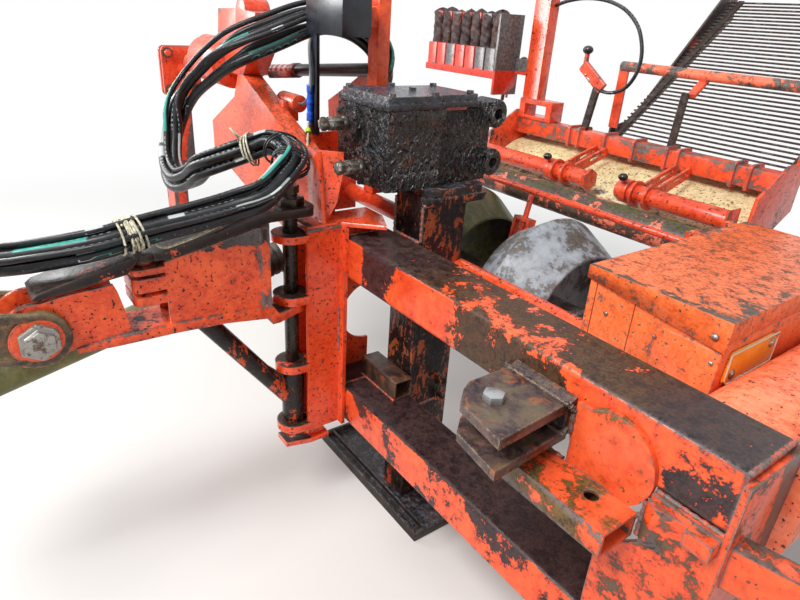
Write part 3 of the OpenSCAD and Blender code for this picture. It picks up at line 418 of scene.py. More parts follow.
def aged(name, paint, bare, wear=0.0, grain=10, chips=0.5, rim=0.14, worn=(118, 106, 104),
         soil=(92, 78, 52), soiled=0.0, gloss=0.28, bare_gloss=0.34, coat=0.25, band=0.007, where=None,
         other=None, bare_other=None):
    """Paint over metal. Metal shows in ragged patches where three noises, the edges, `wear` and the places
    that `where` adds pass a limit together, and in small chips. Soil and moss lie on what faces up in
    patches. `other` and `bare_other` give a mask and the colours of the paint and the metal there."""
    f = Finish(name, Coat_Roughness=0.2, Specular_IOR_Level=0.38)
    patch, fine = f.noise(grain, 9, 0.66, 0.4, away=3), f.noise(grain * 4, 7, 0.7, 0.3)
    speck, dot = f.noise(grain * 16, 3, 0.5, away=7), f.noise(130, 2, 0.45, away=11)
    edge = f.edges(band)
    loss = patch * PATCH + fine * FINE + speck * SPECK + edge * rim + wear - PAINT_LEFT
    if where:
        loss = loss + where(f)
    chip_from = 0.835 - chips * 0.1
    gone = loss.ramp(BARE_FROM - 0.002, BARE_FROM + 0.002).most(
        (dot * 0.8 + fine * 0.45).ramp(chip_from, chip_from + 0.01))
    coloured = f.between((patch + fine).ramp(0.75, 1.25), paint[::-1])
    if other:
        coloured = f.mix(other[0](f), coloured, f.between(fine.ramp(0.4, 0.6), other[1]))
    brim = loss.ramp(BARE_FROM - 0.04, BARE_FROM - 0.002) * 0.45
    dulled = f.mix(brim, coloured, tint(*[c * 0.42 for c in paint[0]]))
    shade = (fine + speck * 0.5).ramp(0.55, 0.9)
    metal = f.between(shade, bare)
    if bare_other:
        metal = f.mix(bare_other[0](f), metal, f.between(shade, bare_other[1]))
    scraped = f.mix(edge * (fine + speck).ramp(0.75, 1.0) * 0.85, metal, tint(*worn))
    laid = upward(f) * (fine + patch).ramp(0.95, 1.15) * soiled
    earth = f.between(speck.ramp(0.4, 0.6), ([c * 0.6 for c in soil], soil))
    f.put("Base Color", f.mix(laid, f.mix(gone, dulled, scraped), earth))
    f.put("Roughness", gone * (bare_gloss - gloss) + laid * 0.35 + fine * 0.16 + speck * 0.1 + gloss - 0.06)
    f.put("Coat Weight", (1 - gone) * (1 - laid) * coat)
    f.bump((1 - gone) * 0.8 + fine * 0.8 + gone * speck * 0.7 + laid * speck * 1.5, 0.0009)
    return f.material


def dress(names, material, soft=0.0018):
    """Gives CAD pieces a finish, and rounds their edges by `soft` metres."""
    for name in names.split():
        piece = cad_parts[name]
        piece.data.materials.clear()
        piece.data.materials.append(material)
        piece.data.polygons.foreach_set("use_smooth", [True] * len(piece.data.polygons))
        piece.modifiers.new("weld", "WELD").merge_threshold = 1e-5
        rounded = piece.modifiers.new("edges", "BEVEL")
        rounded.width, rounded.segments, rounded.limit_method = soft, 2, "ANGLE"
        rounded.angle_limit, rounded.harden_normals = math.radians(32), True


def beam_wear(f):
    """Bare on top, where more paint is left towards the free end. The front is sound beside the post,
    then bare in a band, sound again, and earthy round the clevis. The corner between is ground bare."""
    x, top = f.axes()[0], upward(f)
    front = frontward(f, 0.6, 0.9)
    bands = (within(x, 0.08, 0.205, 0.045) * 0.3 + within(x, 0.44, 0.76, 0.06) * 0.2
             - within(x, 0.2, 0.42, 0.04) * 0.07 - within(x, -0.2, 0.06, 0.02) * 0.12)
    corner = (1 - top) * (1 - front) * frontward(f, 0.1, 0.3)
    return (top * (0.27 - within(x, 0.36, 0.84, 0.08) * 0.11) + front * (bands + x.ramp(0.8, 1.0) * 0.08)
            + corner * 0.2)


def low_beam_wear(f):
    """Bare on top, and hung with long drips of oil down the front."""
    drip = f.noise(7, 4, 0.6, stretch=(2, 2, 0.6))
    return upward(f) * 0.27 + (drip - 0.5) * 0.4 + (f.axes()[2] - 0.35).ramp(0.0, 0.08) * 0.06 + 0.03


def post_wear(f):
    """Sound paint on the faces, and the lugs greasy on top near the pin."""
    near_pin = 1 - (f.axes()[1] + 0.14).size().ramp(0.03, 0.07)
    return upward(f) * (near_pin * 0.3 + 0.06)


def by_post(f):
    """1 beside the post, where the bare metal is dark and oily, and 0 farther out, where it is earthy."""
    x = f.axes()[0]
    return 1 - x.ramp(0.2, 0.4) * (1 - x.ramp(0.84, 0.95))


dress("upper_beam", aged("beam_paint", PAINT, EARTHY, rim=0.2, band=0.012, soil=(92, 72, 48), soiled=0.35,
                         where=beam_wear, bare_other=(by_post, PURPLE)))
dress("lower_beam", aged("low_beam_paint", PAINT, PURPLE, 0.03, rim=0.2, band=0.01, soil=(80, 58, 46),
                         soiled=0.3, where=low_beam_wear))
dress("post", aged("post_paint", ((226, 64, 24), (250, 90, 40)), OILY, -0.14, grain=16, chips=0.95,
                   gloss=0.18, coat=0.5, soil=(92, 88, 44), soiled=0.3, where=post_wear))
dress("end_plate", aged("end_plate_paint", PAINT, ((36, 27, 22), (104, 80, 60)), 0.05, soiled=0.3, rim=0.24))
dress("side_member", aged("member_paint", ((232, 100, 62), (250, 138, 98)), OILY, -0.15, grain=14,
                          gloss=0.34, soiled=0.2, chips=0.7))

# Weld beads where plates meet the beams, the post and the clevis. They were laid in short runs, with
# ripples a few millimetres apart, and the frame's paint was sprayed over them.
def bead(path, radius):
    """A tube along the path whose radius swells and sinks with each ripple of the weld."""
    line = smooth_path(site(path), 0.0045)
    step = np.arange(len(line))
    return tube(line, radius / 1000 * (1 + 0.22 * np.sin(step * 1.9) + 0.1 * np.sin(step * 0.37)), 7)


def corners(*runs):
    """Each run, given as X, Y and Z of its corners in turn, as points that keep straight lines between."""
    steps = np.linspace(0, 1, 5)[:4, None]
    for run in runs:
        ends = np.array(run, float).reshape(-1, 3)
        yield np.vstack([a + (b - a) * steps for a, b in zip(ends, ends[1:])] + [ends[-1:]])


FRAME_WELDS = [
    (-20, -2, 797, -20, -2, 913), (-20, -2, 318, -20, -2, 433), (-18, 0, 915, -18, 108, 915),
    (-18, 2, 435, -18, 140, 435), (-110, -111, 944, -20, -111, 944), (-111, -110, 945, -111, 110, 945),
    (-19, -110, 944, -19, -12, 944), (4, 150, 915, 124, 150, 915), (124, 151, 380, 124, 290, 380),
    (1084, 2, 913, 1084, 150, 913), (970, -1, 795, 1084, -1, 795), (905, -1, 440, 1084, -1, 440),
    (963, -12, 700, 963, -12, 776), (-20, -13, 700, -20, -13, 560), (4, 151, 916, 4, 151, 1016),
    (124, 151, 916, 124, 151, 1016), (124, 151, 1016, 124, 300, 1016), (690, -12, 739, 795, -12, 741),
    (930, -12, 700, 962, -13, 745), (-44, 88, 435, 138, 88, 435), (-44, 150, 436, 138, 150, 436)]
skin("frame_welds", [bead(run, 4.5) for run in corners(*FRAME_WELDS)], aged(
    "weld_paint", PAINT, ((52, 42, 40), (120, 104, 96)), 0.1, grain=30, rim=0.2))

# Clevis for a towed harrow: two rusty plates welded under and over the beam's lip, with a zinc-plated
# bolt through both, and the flat-bar channel on its gusset beside it. Both have stood in wet soil.
def rusted(name, colours, pale, mossy=0.3, relief=0.0012, shine=0.42):
    """Scale rust: dark and ochre clouds with flecks of fresh rust, pale worn edges, pits, and moss on what
    faces up."""
    f = Finish(name)
    cloud, fine, speck = f.noise(14, 6, 0.62, 0.5), f.noise(70, 6, 0.7), f.noise(260, 2, 0.5, away=5)
    fresh = f.noise(26, 8, 0.7, 0.6, away=9)
    edge = f.edges(0.007)
    body = f.between((cloud * 0.7 + fine * 0.3).ramp(0.38, 0.62), colours)
    flecked = f.mix(fresh.ramp(0.56, 0.66) * 0.6, body, tint(166, 84, 40))
    edged = f.mix(edge * (fine + speck).ramp(0.9, 1.15) * 0.7, flecked, tint(*pale))
    green = upward(f) * (cloud + speck * 0.4).ramp(0.68, 0.86) * mossy
    f.put("Base Color", f.mix(green, edged, tint(98, 96, 46)))
    f.put("Roughness", fine * 0.4 + shine - 0.12)
    f.bump(cloud + fine * 0.8 + speck * 0.3, relief)
    return f.material


def plated(name, colour, dirt, rough=0.3, dirty=0.5, metal=0.9):
    """Plated or ground steel, with dirt in patches that takes the shine off."""
    f = Finish(name)
    cloud, speck = f.noise(45, 5, 0.65), f.noise(400, 2, 0.5)
    mask = (cloud + speck * 0.3).ramp(0.78 - dirty * 0.3, 0.9 - dirty * 0.3)
    f.put("Base Color", f.between(mask, (colour, dirt)))
    f.put("Metallic", (1 - mask) * metal)
    f.put("Roughness", mask * 0.4 + speck * 0.15 + rough)
    f.bump(cloud + speck * 0.4, 0.0003)
    return f.material


CLEVIS_WELDS = [(641, -22, 860, 790, -22, 860), (792, -20, 860, 797, -13, 850, 798, -12, 800),
                (641, -20, 795, 790, -20, 795)]
clevis_rust = rusted("clevis_rust", ((28, 20, 27), (94, 74, 70)), (150, 124, 94), 0.35, relief=0.002,
                     shine=0.26)
dress("clevis", clevis_rust, 0.003)
skin("clevis_welds", [bead(run, 5.5) for run in corners(*CLEVIS_WELDS)], clevis_rust)


def shelf_wear(f):
    """Paint holds on the gusset against the beam and on the channel's end, and moss takes its top."""
    x, y, _ = f.axes()
    under = (0 - facing(f, 2)).ramp(-0.6, 0.2)
    return y.ramp(-0.016, -0.011) * -0.12 + x.ramp(0.86, 0.93) * -0.1 + under * 0.04


dress("shelf_tube", aged("shelf_paint", ((206, 68, 32), (240, 100, 54)), ((58, 40, 20), (116, 88, 44)), 0.11,
                         grain=13, soil=(92, 98, 44), soiled=0.9, where=shelf_wear))
dress("clevis_bolt", plated("bolt_zinc", (186, 190, 192), (110, 100, 84), 0.28, 0.2))
dress("receiver", rusted("receiver_rust", ((38, 27, 26), (88, 62, 46)), (132, 104, 82), 0.1))

# Column and parking stand: a square tube that takes the gearbox on a bolted flange, with the leg that
# slides in it and a plate foot. Gear oil has run down all of it for years.
def oiled(name, colours, glint=(96, 104, 118), wear_to=(196, 70, 30), worn=0.0, shine=0.24, relief=0.0014,
          moss=0.0, lumps=0.0, grain=11, wet=0.34):
    """Old oil and dust: rippled, near black, with a wet sheen, a painted pale glint of sky on what faces up,
    and the paint under it in places. Lumps are grease that has run together and hangs in drips."""
    f = Finish(name, Specular_IOR_Level=wet)
    run = f.noise(grain, 6, 0.65, 0.8, stretch=(1.6, 1.6, 0.55))
    fine, speck = f.noise(60, 6, 0.68, 0.4), f.noise(240, 2, 0.5, away=5)
    body = f.between((run * 0.6 + fine * 0.4).ramp(0.4, 0.66), colours)
    paint = f.mix((run + fine * 0.5 + speck * 0.15).ramp(0.93 - worn, 0.94 - worn), body, tint(*wear_to))
    # Painted reflection: the glint colour is laid in patches on what faces up, for the sky seen in the oil.
    sheen = f.mix(upward(f) * (fine + speck * 0.4).ramp(0.62, 0.9) * 0.6, paint, tint(*glint))
    edged = f.mix(f.edges(0.005) * (fine + speck).ramp(0.95, 1.2) * 0.5, sheen, tint(118, 108, 96))
    f.put("Base Color", f.mix((run + fine).ramp(1.0, 1.15) * moss, edged, tint(92, 92, 52)))
    f.put("Roughness", fine * 0.34 + speck * 0.1 + shine - 0.14)
    height = run * 1.3 + fine + speck * 0.2
    if lumps:
        height = height + f.noise(75, 3, 0.5, 1.2, stretch=(1, 1, 0.5)).ramp(0.38, 0.66) * lumps
    f.bump(height, relief)
    return f.material


dress("column", oiled("column_grease", ((12, 8, 10), (54, 34, 30)), worn=0.04, moss=0.25, lumps=0.7,
                      grain=22, wear_to=(178, 76, 38)))
dress("stand_leg", oiled("leg_grease", ((24, 18, 18), (80, 58, 44)), worn=0.05))
dress("stand_foot", oiled("foot_grease", ((20, 16, 15), (58, 44, 34)), worn=-0.1, shine=0.4))

# Angle gearbox: an iron casting in two halves under a bolted cover, thick with oily dust. Two splined
# shaft ends stand out in front for the tractor's drive and for the rollers.
# The glint colours of the gearbox and its cover are painted reflections of the sky on what faces up.
grease = oiled("gearbox_grease", ((4, 4, 5), (28, 20, 20)), worn=-0.05, shine=0.08, relief=0.005, lumps=1.6,
               grain=18, glint=(96, 100, 118), wear_to=(112, 58, 34), wet=0.62)
dress("gearbox", grease, 0.004)
dress("gearbox_cover", oiled("cover_grease", ((14, 14, 18), (50, 50, 60)), worn=-0.08, shine=0.12,
                             relief=0.002, lumps=0.8, glint=(92, 100, 126), wet=0.5), 0.003)


def toothed(sides, teeth, depth):
    """Shape of a splined ring: full radius on the teeth and less by the depth between them, from a cosine
    with as many waves as teeth, made steep and cut off at 0 and 1."""
    wave = np.cos(np.linspace(0, 2 * np.pi, sides, endpoint=False) * teeth)
    return 1 - depth * (1 - np.clip(0.5 + 2.4 * wave, 0, 1))


# Shape of a hexagon at 24 angles: one over the cosine of the angle off the nearest flat
HEXAGON = 1 / np.cos((np.linspace(0, 2 * np.pi, 24, endpoint=False) + np.pi / 6) % (np.pi / 3) - np.pi / 6)


def bolt_head(place, axis, across, high=None, washer=True):
    """Grids of a hexagon head with a chamfered top, and of the washer under it, on a place in mm."""
    high = high or across * 0.62
    disc = [(-1, across * 0.95), (1.8, across * 0.95)]
    head = [(0, across / 2), (high * 0.8, across / 2), (high, across * 0.43)]
    grids = [turned(site(place), axis, head, 24, HEXAGON)]
    return grids + [turned(site(place), axis, disc, 20)] if washer else grids


# Shaft ends as name, X and Z, and sizes in mm: radius, length, and where teeth and the lock groove run
SHAFTS = [("upper_shaft", -60, 1206), ("lower_shaft", 20, 1112)]
SEAT_Y, SHAFT_R, SHAFT_OUT, TOOTH_FROM, GROOVE = 22.7, 17.5, 74, 12, (52, 54, 60, 62)
FACE_Y, CAP_BOLT_CIRCLE, CAP_BOLTS = 23, 44, 6
shaft_steel = plated("shaft_steel", (150, 144, 134), (62, 50, 42), 0.34, 0.7, 0.8)
for name, x, z in SHAFTS:
    seat_at, out = site(x, SEAT_Y, z), (0, -1, 0)
    collar = [(0, SHAFT_R), (TOOTH_FROM, SHAFT_R), (TOOTH_FROM + 2, SHAFT_R * 0.9)]
    teeth = [(TOOTH_FROM, SHAFT_R)] + [(at, SHAFT_R * size) for at, size in zip(GROOVE, (1, 0.9, 0.9, 1))]
    teeth += [(SHAFT_OUT - 3, SHAFT_R), (SHAFT_OUT, SHAFT_R * 0.84)]
    end = skin(f"{name}_splines", [turned(seat_at, out, collar, 36),
                                   turned(seat_at, out, teeth, 72, toothed(72, 6, 0.15))], shaft_steel, name)
    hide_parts(name)
round_cap = np.arange(CAP_BOLTS) * 2 * math.pi / CAP_BOLTS + 0.4
cap_bolts = [bolt_head((x + CAP_BOLT_CIRCLE * math.cos(a), FACE_Y, z + CAP_BOLT_CIRCLE * math.sin(a)),
                       (0, -1, 0), 11, washer=False)[0] for _, x, z in SHAFTS for a in round_cap]
skin("bearing_cap_bolts", cap_bolts, grease, smooth=False)

# Drive tube, chain guard and its hinged lid: bent sheet steel, sprayed orange, with grey primer and
# bare steel where chains and boots have rubbed. An amber reflector is screwed to the outer side.
LID_FRONT, SEAM = 0.262, (0.0008, 0.0016)


def lid_wear(f):
    """Short scratches along X, and a rubbed front edge."""
    scratch = f.noise(16, 7, 0.75, stretch=(1, 5, 5), away=2)
    front = 1 - (f.axes()[1] - LID_FRONT).size().ramp(0.0, 0.035)
    return (scratch - 0.5) * 0.5 + upward(f) * (front * 0.16 + 0.11)


def moulded(name, colours, rough=0.45, dust=0.4, scale=60):
    """Moulded plastic or rubber, mottled, with dust on what faces up."""
    f = Finish(name)
    cloud, fine = f.noise(scale * 0.2, 5, 0.6), f.noise(scale, 6, 0.7)
    body = f.between((cloud + fine * 0.5).ramp(0.6, 0.9), colours)
    laid = facing(f, 2).ramp(0.0, 0.9) * (cloud + fine).ramp(0.85, 1.2) * dust
    f.put("Base Color", f.mix(laid, body, tint(150, 144, 130)))
    f.put("Roughness", fine * 0.2 + laid * 0.3 + rough - 0.1)
    f.bump(fine + cloud * 0.3, 0.0003)
    return f.material


def guard_seams(f):
    """Folded joints in the box's front sheet, as thin dark lines."""
    x, _, z = f.axes()
    left, right, low = (1 - (at - place).size().ramp(*SEAM)
                        for at, place in ((x, 0.604), (x, 0.702), (z, 0.838)))
    return (left.most(right).most(low) * frontward(f, 0.6, 0.9)).most((0.812 - z).ramp(0.0, 0.01) * 0.5)


dress("drive_tube", aged("tube_paint", PAINT, OILY, -0.1, grain=14, chips=1.0, gloss=0.2, coat=0.5,
                         soiled=0.1))
dress("guard_lid", aged("lid_paint", ((206, 84, 34), (244, 120, 62)), ((40, 28, 22), (104, 84, 66)), -0.11,
                        grain=34, chips=0.8, soil=(96, 70, 44), soiled=0.3, where=lid_wear), 0.0012)
dress("guard_box", aged("guard_paint", ((222, 96, 46), (246, 128, 74)), ((36, 44, 40), (104, 106, 88)),
                        -0.07, grain=30, chips=0.7, other=(guard_seams, ((88, 40, 20), (120, 60, 30)))),
      0.0012)
# The reflector's face and edges in mm, how far in its rim lies, and the cut of the rim's front corner
REFLECTOR_X, REFLECTOR_Y, REFLECTOR_Z, RIM_IN, RIM_CUT = 900.3, (293, 495), (850, 928), 5, 12
amber = Finish("amber_lens", Roughness=0.3, Coat_Weight=0.15, Coat_Roughness=0.1)
_, lens_y, lens_z = amber.axes()
grime, cells = amber.noise(40, 6, 0.7), (lens_y * 1250).wave() * (lens_z * 1250).wave()
amber.put("Base Color", amber.between((cells * 0.5 + grime).ramp(0.2, 0.9), (
    (226, 128, 14), (255, 186, 52))))
amber.bump(cells, 0.0002)
dress("reflector", amber.material, 0.0022)
near_y, far_y = REFLECTOR_Y[0] + RIM_IN, REFLECTOR_Y[1] - RIM_IN
low_z, high_z = REFLECTOR_Z[0] + RIM_IN, REFLECTOR_Z[1] - RIM_IN
RIM = [(near_y + RIM_CUT, low_z), (far_y, low_z), (far_y, high_z), (near_y, high_z),
       (near_y, low_z + RIM_CUT), (near_y + RIM_CUT, low_z)]
rim_path = next(corners([(REFLECTOR_X, y, z) for y, z in RIM]))
skin("reflector_rim", [tube(site(rim_path), 0.0018, 8)], moulded("rim_pale", (
    (206, 196, 170), (232, 226, 208)), 0.4))
RIVET, HASP = [(0, 5), (1.4, 4.6), (2.6, 3), (3, 1)], [(0, 8), (3, 7), (5, 4), (6, 1)]
screws = [grid for y, z in ((322, 874), (466, 904))
          for grid in bolt_head((REFLECTOR_X, y, z), (1, 0, 0), 11, 4)]
screws += [turned(site(x, 266.5, z), (0, -1, 0), RIVET, 14) for x in (640, 760, 880) for z in (826, 905)]
screws += [turned(site(875, 262, 961), (0, -1, 0), HASP, 16)]
skin("guard_screws", screws, plated("screw_zinc", (168, 166, 160), (120, 70, 44), 0.3, 0.5))

# Drawbar: bent flat bar on two side plates, hinged on the post and braced by a tube, with the link to
# the tractor on a bolt in front. The top bar is worn and oily, and the side plates keep their paint.
def bar_wear(f):
    """Bare along the top edge under the bar, and on what faces up."""
    return (f.axes()[2] - 0.925).ramp(0.0, 0.02) * 0.16 + upward(f) * 0.1


dress("hinge_pin", oiled("pin_grease", ((16, 11, 10), (62, 44, 32)), worn=-0.2, shine=0.16))
dress("tongue", aged("tongue_paint", PAINT, ((12, 9, 8), (44, 36, 28)), -0.04, grain=17, chips=0.9,
                     soiled=0.3, where=bar_wear))
dress("top_bar", aged("bar_paint", PAINT, ((10, 6, 5), (42, 27, 22)), 0.24, gloss=0.3, bare_gloss=0.3,
                      rim=0.3, worn=(84, 66, 58), soil=(40, 30, 24), soiled=0.3), 0.003)
dress("brace_tube", oiled("brace_grease", ((14, 10, 10), (58, 40, 32)), worn=0.03, shine=0.18))
dress("hitch_link", rusted("link_rust", ((46, 36, 28), (116, 94, 68)), (170, 142, 98), 0.4), 0.004)
dress("hitch_bolt", plated("hitch_zinc", (160, 156, 150), (96, 80, 62), 0.36, 0.4, 0.7))
# Wear ring round the hitch bolt on the cheek: distance out and radius
WEAR_RING = [(0, 37), (0, 54), (1.5, 56), (4.5, 56), (6, 54), (6, 37)]
skin("hitch_ring", [turned(site(3, -750, 811), (1, 0, 0), WEAR_RING, 48)],
     aged("ring_paint", PAINT, OILY, -0.02, grain=30, rim=0.25), "drawbar")

# Guard of a drive shaft along the drawbar's far side: an olive plastic tube, with a soft black rubber
# cone pushed on each end.
dress("shaft_guard", moulded("guard_tube_olive", ((84, 84, 36), (116, 112, 52)), 0.5))
dress("shaft_cones", moulded("cone_rubber", ((22, 22, 22), (44, 42, 40)), 0.6))

# Intake behind the frame: side plates, cross tubes, ridge rollers on their axle, share plates and the
# sieving web. The sheet and tubes are steel, painted a redder orange, and soil has rubbed them bare.
INTAKE_PAINT = ((206, 56, 26), (238, 90, 48))


def far_side(f):
    """1 on the far roller and 0 on the near one."""
    return 1 - f.axes()[0].ramp(-0.03, 0.03)


def some_bodies(f):
    """Grey valve bodies among the red ones: the third, and the last two."""
    x, _, z = f.axes()
    return within(x, -0.876, -0.824, 0.002).most((x + 0.69).ramp(0, 0.002)) * (z - 1.28).ramp(0, 0.004)


dress("near_wall far_wall", aged("wall_paint", INTAKE_PAINT, OILY, -0.02, grain=13, chips=0.8, soiled=0.3))
dress("gauge_rod lever_tubes lever_arms roller_screw", aged(
    "intake_paint", INTAKE_PAINT, OILY, -0.04, grain=16, chips=0.9, soiled=0.2))
dress("gauge_bar", aged("gauge_paint", INTAKE_PAINT, ((56, 46, 42), (120, 104, 96)), 0.06, grain=15,
                        rim=0.2))
dress("upright", aged("upright_paint", INTAKE_PAINT, OILY, -0.1, grain=20, chips=0.9, gloss=0.2, coat=0.5))
dress("cross_tube", aged("tube_moss", ((206, 84, 52), (232, 128, 100)), ((46, 36, 34), (96, 82, 70)), 0.16,
                         grain=11, soil=(96, 98, 46), soiled=1.0))
dress("share_plates", aged("share_cream", ((196, 178, 128), (230, 214, 168)), (
    (50, 40, 34), (120, 100, 76)), -0.08, grain=24, chips=1.0, gloss=0.45, coat=0.0))
dress("sieving_web", plated("web_steel", (96, 86, 78), (52, 38, 32), 0.35, 0.85, 0.6))
# Painted shade: the web wall's paint is the intake's red made dark, for the shade inside the elevator.
dress("web_wall", aged("web_wall_shaded_paint", ((92, 30, 22), (150, 50, 34)), ((28, 20, 18), (62, 44, 38)), 0.14,
                       grain=8))
dress("roller_axle", oiled("axle_grease", ((30, 26, 24), (80, 70, 62)), worn=-0.2))
dress("ridge_rollers", aged("roller_grey", ((116, 120, 126), (158, 164, 168)), (
    (58, 52, 48), (104, 96, 88)), 0.05, grain=8, chips=0.2, gloss=0.45, soil=(96, 86, 70), soiled=0.3,
    coat=0.1, other=(far_side, ((78, 80, 44), (116, 114, 70)))))
dress("valve_bank", aged("valve_paint", ((190, 40, 24), (226, 66, 40)), OILY, -0.05, grain=22, rim=0.2,
                         soiled=0.3, other=(some_bodies, ((70, 68, 68), (108, 106, 104)))))

# Control valves' boots: soft dark covers pulled down over the seven levers as far as the bank's top.
# They are pleated, and sag with age.
BOOT_X, BOOT_STEP, BOOT_Y, BOOT_LOW, BOOT_HIGH = -967, 62, 1060, 1358, 1500
BOOT_SIDES, BOOT_ROWS = 36, 40


def boot(number):
    """A rounded square that swells and sinks with the height as a sum of two sines, which differ a little
    with the angle, and that closes in a low crumpled dome at the top."""
    turn = np.linspace(0, 2 * np.pi, BOOT_SIDES, endpoint=False)[None]
    rise = np.linspace(0, 1, BOOT_ROWS)[:, None]
    square = (np.abs(np.cos(turn)) ** 4 + np.abs(np.sin(turn)) ** 4) ** -0.25
    folds = 1.7 * np.sin(13 * rise + 2.2 * np.sin(2 * turn + number) + number) + 1.5 * np.sin(
        5 * turn + 8 * rise + 2 * number) + 0.9 * np.sin(31 * rise + 3 * turn)
    close = np.clip((1 - rise) / 0.14, 0, 1) ** 0.5
    reach = (29 * square + folds * (0.25 + 0.75 * np.clip(rise * 4, 0, 1))) * close
    x = BOOT_X + BOOT_STEP * number + np.cos(turn) * np.clip(reach, 0, 40) * 0.98
    y = BOOT_Y + np.sin(turn) * reach * 1.06
    tall = BOOT_HIGH - BOOT_LOW + 5 * np.sin(number * 2.2) + 3 * np.sin(2 * turn + number)
    z = BOOT_LOW + tall * rise
    return site(np.stack(np.broadcast_arrays(x, y, z), axis=-1))


# The leather's glint colour is a painted highlight on what faces up.
skin("valve_boots", [boot(number) for number in range(7)], oiled(
    "boot_leather", ((22, 13, 12), (92, 60, 54)), worn=-0.3, shine=0.3, relief=0.004, glint=(96, 82, 82)))

# Hand levers on the gauge bar and the upright: flat bars and red brackets with ball knobs, and the
# knobs on the depth levers. Knobs are black plastic, pressed on.
def ball(x, y, z, radius):
    """A round knob: radius times the sine of the angle down from the top, flattened along its height."""
    angle = np.linspace(0.02, np.pi - 0.02, 13)
    profile = np.stack((-np.cos(angle) * radius * 0.8, np.sin(angle) * radius), axis=1)
    return turned(site(x, y, z), (0, 0, 1), profile.tolist(), 20)


# Points round a bar's section, as shares of its width and thickness
BAR_ROUND = np.array([(5, 3), (4, 5), (-4, 5), (-5, 3), (-5, -3), (-4, -5), (4, -5), (5, -3)]) / 10


def bar(x, y, z, end_x, end_y, end_z, wide, thick):
    """A flat bar between two points in mm: its section carried along the line, and closed at both ends."""
    line = site([(x, y, z), (end_x, end_y, end_z)])
    _, side, lift = frames(np.vstack((line[0], line.mean(axis=0), line[1])), up=(0.02, 1, 0.03))
    ring = (BAR_ROUND * (wide, thick) / 1000) @ (side[1], lift[1])
    return line[[0, 0, 1, 1]][:, None] + np.array((0, 1, 1, 0))[:, None, None] * ring


# X, Y and Z of each knob and its radius, and of both ends of each bar, its width and thickness
KNOBS = [(-89, 861.8, 1048.9, 15), (221, 861.8, 1048.9, 15), (-223, 1150, 1387, 19), (-533, 1150, 1325, 16)]
DARK_BARS = [(-176, 1150, 1112, -152, 1150, 1277, 30, 14), (186, 1150, 1112, 193, 1150, 1290, 26, 12),
             (-616, 1150, 1279, -629, 1150, 1156, 12, 12)]
RED_BARS = [(-130, 1150, 1262, -232, 1150, 1334, 42, 18), (-223, 1150, 1322, -223, 1150, 1376, 14, 14),
            (-489, 1150, 1288, -620, 1150, 1279, 26, 16), (-533, 1150, 1284, -533, 1150, 1314, 12, 12),
            (-600, 1142, 1284, -598, 1142, 1170, 8, 8), (213, 1150, 1282, 213, 1212, 1330, 30, 14),
            (-96, 1212, 1128, -96, 1212, 1352, 40, 8), (578, 1212, 1128, 578, 1212, 1352, 40, 8)]
skin("lever_knobs", [ball(*row) for row in KNOBS], moulded(
    "knob_black", ((9, 9, 10), (30, 30, 32)), 0.2, dust=0.2))
skin("lever_bars", [bar(*row) for row in DARK_BARS], oiled(
    "lever_grease", ((30, 24, 22), (84, 70, 62)), worn=-0.02), smooth=False)
skin("lever_brackets", [bar(*row) for row in RED_BARS], aged(
    "lever_paint", INTAKE_PAINT, OILY, -0.06, grain=20, rim=0.2), smooth=False)
web_line = site(np.linspace((-108, 1214, 1343), (584, 1214, 1343), 12))
skin("web_rod", [tube(web_line, 0.017, 24)], aged(
    "web_rod_paint", ((214, 92, 60), (238, 120, 86)), ((44, 38, 38), (110, 98, 90)), 0.1, grain=18))

# Arm, head and flange at the far end, that carry the outer drive, and the tube that ties them in. They
# are welded steel with lichen on the paint, and the flange is held by rusty bolts.
dress("side_arm", aged("arm_paint", ((206, 58, 26), (240, 92, 48)), ((52, 48, 30), (104, 84, 50)), -0.06,
                      grain=32, chips=1.0, soil=(92, 84, 44), soiled=0.4))
head_paint = aged("head_paint", ((204, 54, 26), (240, 88, 48)), OILY, -0.04, grain=18, rim=0.24, soiled=0.3)
dress("arm_head side_leg brace_bar", head_paint)
dress("mast", aged("mast_paint", PAINT, OILY, -0.12, grain=18))
dress("switch_box", moulded("box_plastic", ((10, 12, 17), (30, 36, 46)), 0.3, dust=0.25))
flange_bolts = [grid for y in (-52, 52) for z in (1136, 1274) for side, x in ((1, -1300.3), (-1, -1345))
                for grid in bolt_head((x, y, z), (side, 0, 0), 22)]
skin("flange_bolts", flange_bolts, rusted(
    "bolt_rust", ((44, 34, 30), (104, 74, 54)), (150, 130, 100), 0.1), smooth=False)

# Black pipe from the far side to the mast, clipped behind the arm head and taped red and white near its
# capped end, and the cables of the switch box, taped to its pole on their way to the horn and the arm.
PIPE = [(-905, 150, 1250), (-740, 166, 1266), (-560, 184, 1284), (-400, 200, 1300), (-240, 215, 1316)]
pipe_line = smooth_path(site(PIPE), 0.02)
f = Finish("pipe_black", Roughness=0.3)
pipe_x, rub = f.axes()[0], f.noise(30, 6, 0.7)
wrap, winds = within(pipe_x, -0.82, -0.63, 0.001), (pipe_x * 190).wave()
tape = f.between(winds.ramp(-0.1, 0.0), ((196, 44, 52), (206, 196, 190)))
f.put("Base Color", f.mix(wrap, f.between(rub.ramp(0.4, 0.7), ((12, 12, 14), (46, 46, 50))), tape))
f.put("Roughness", rub * 0.5 + 0.1)
f.bump(wrap * (winds + rub), 0.001)
CAP, CLAMP = [(-30, 21), (6, 21), (9, 18)], [(0, 23), (30, 23)]
skin("black_pipe", [tube(pipe_line, 0.019, 20), turned(pipe_line[0], (-0.995, -0.096, 0), CAP, 20)],
     f.material)
skin("pipe_clips", [bar(-640, 74, 1262, -640, 184, 1262, 30, 6),
                    turned(site(-655, 176, 1274), (1, 0.1, 0.1), CLAMP, 20)], head_paint)

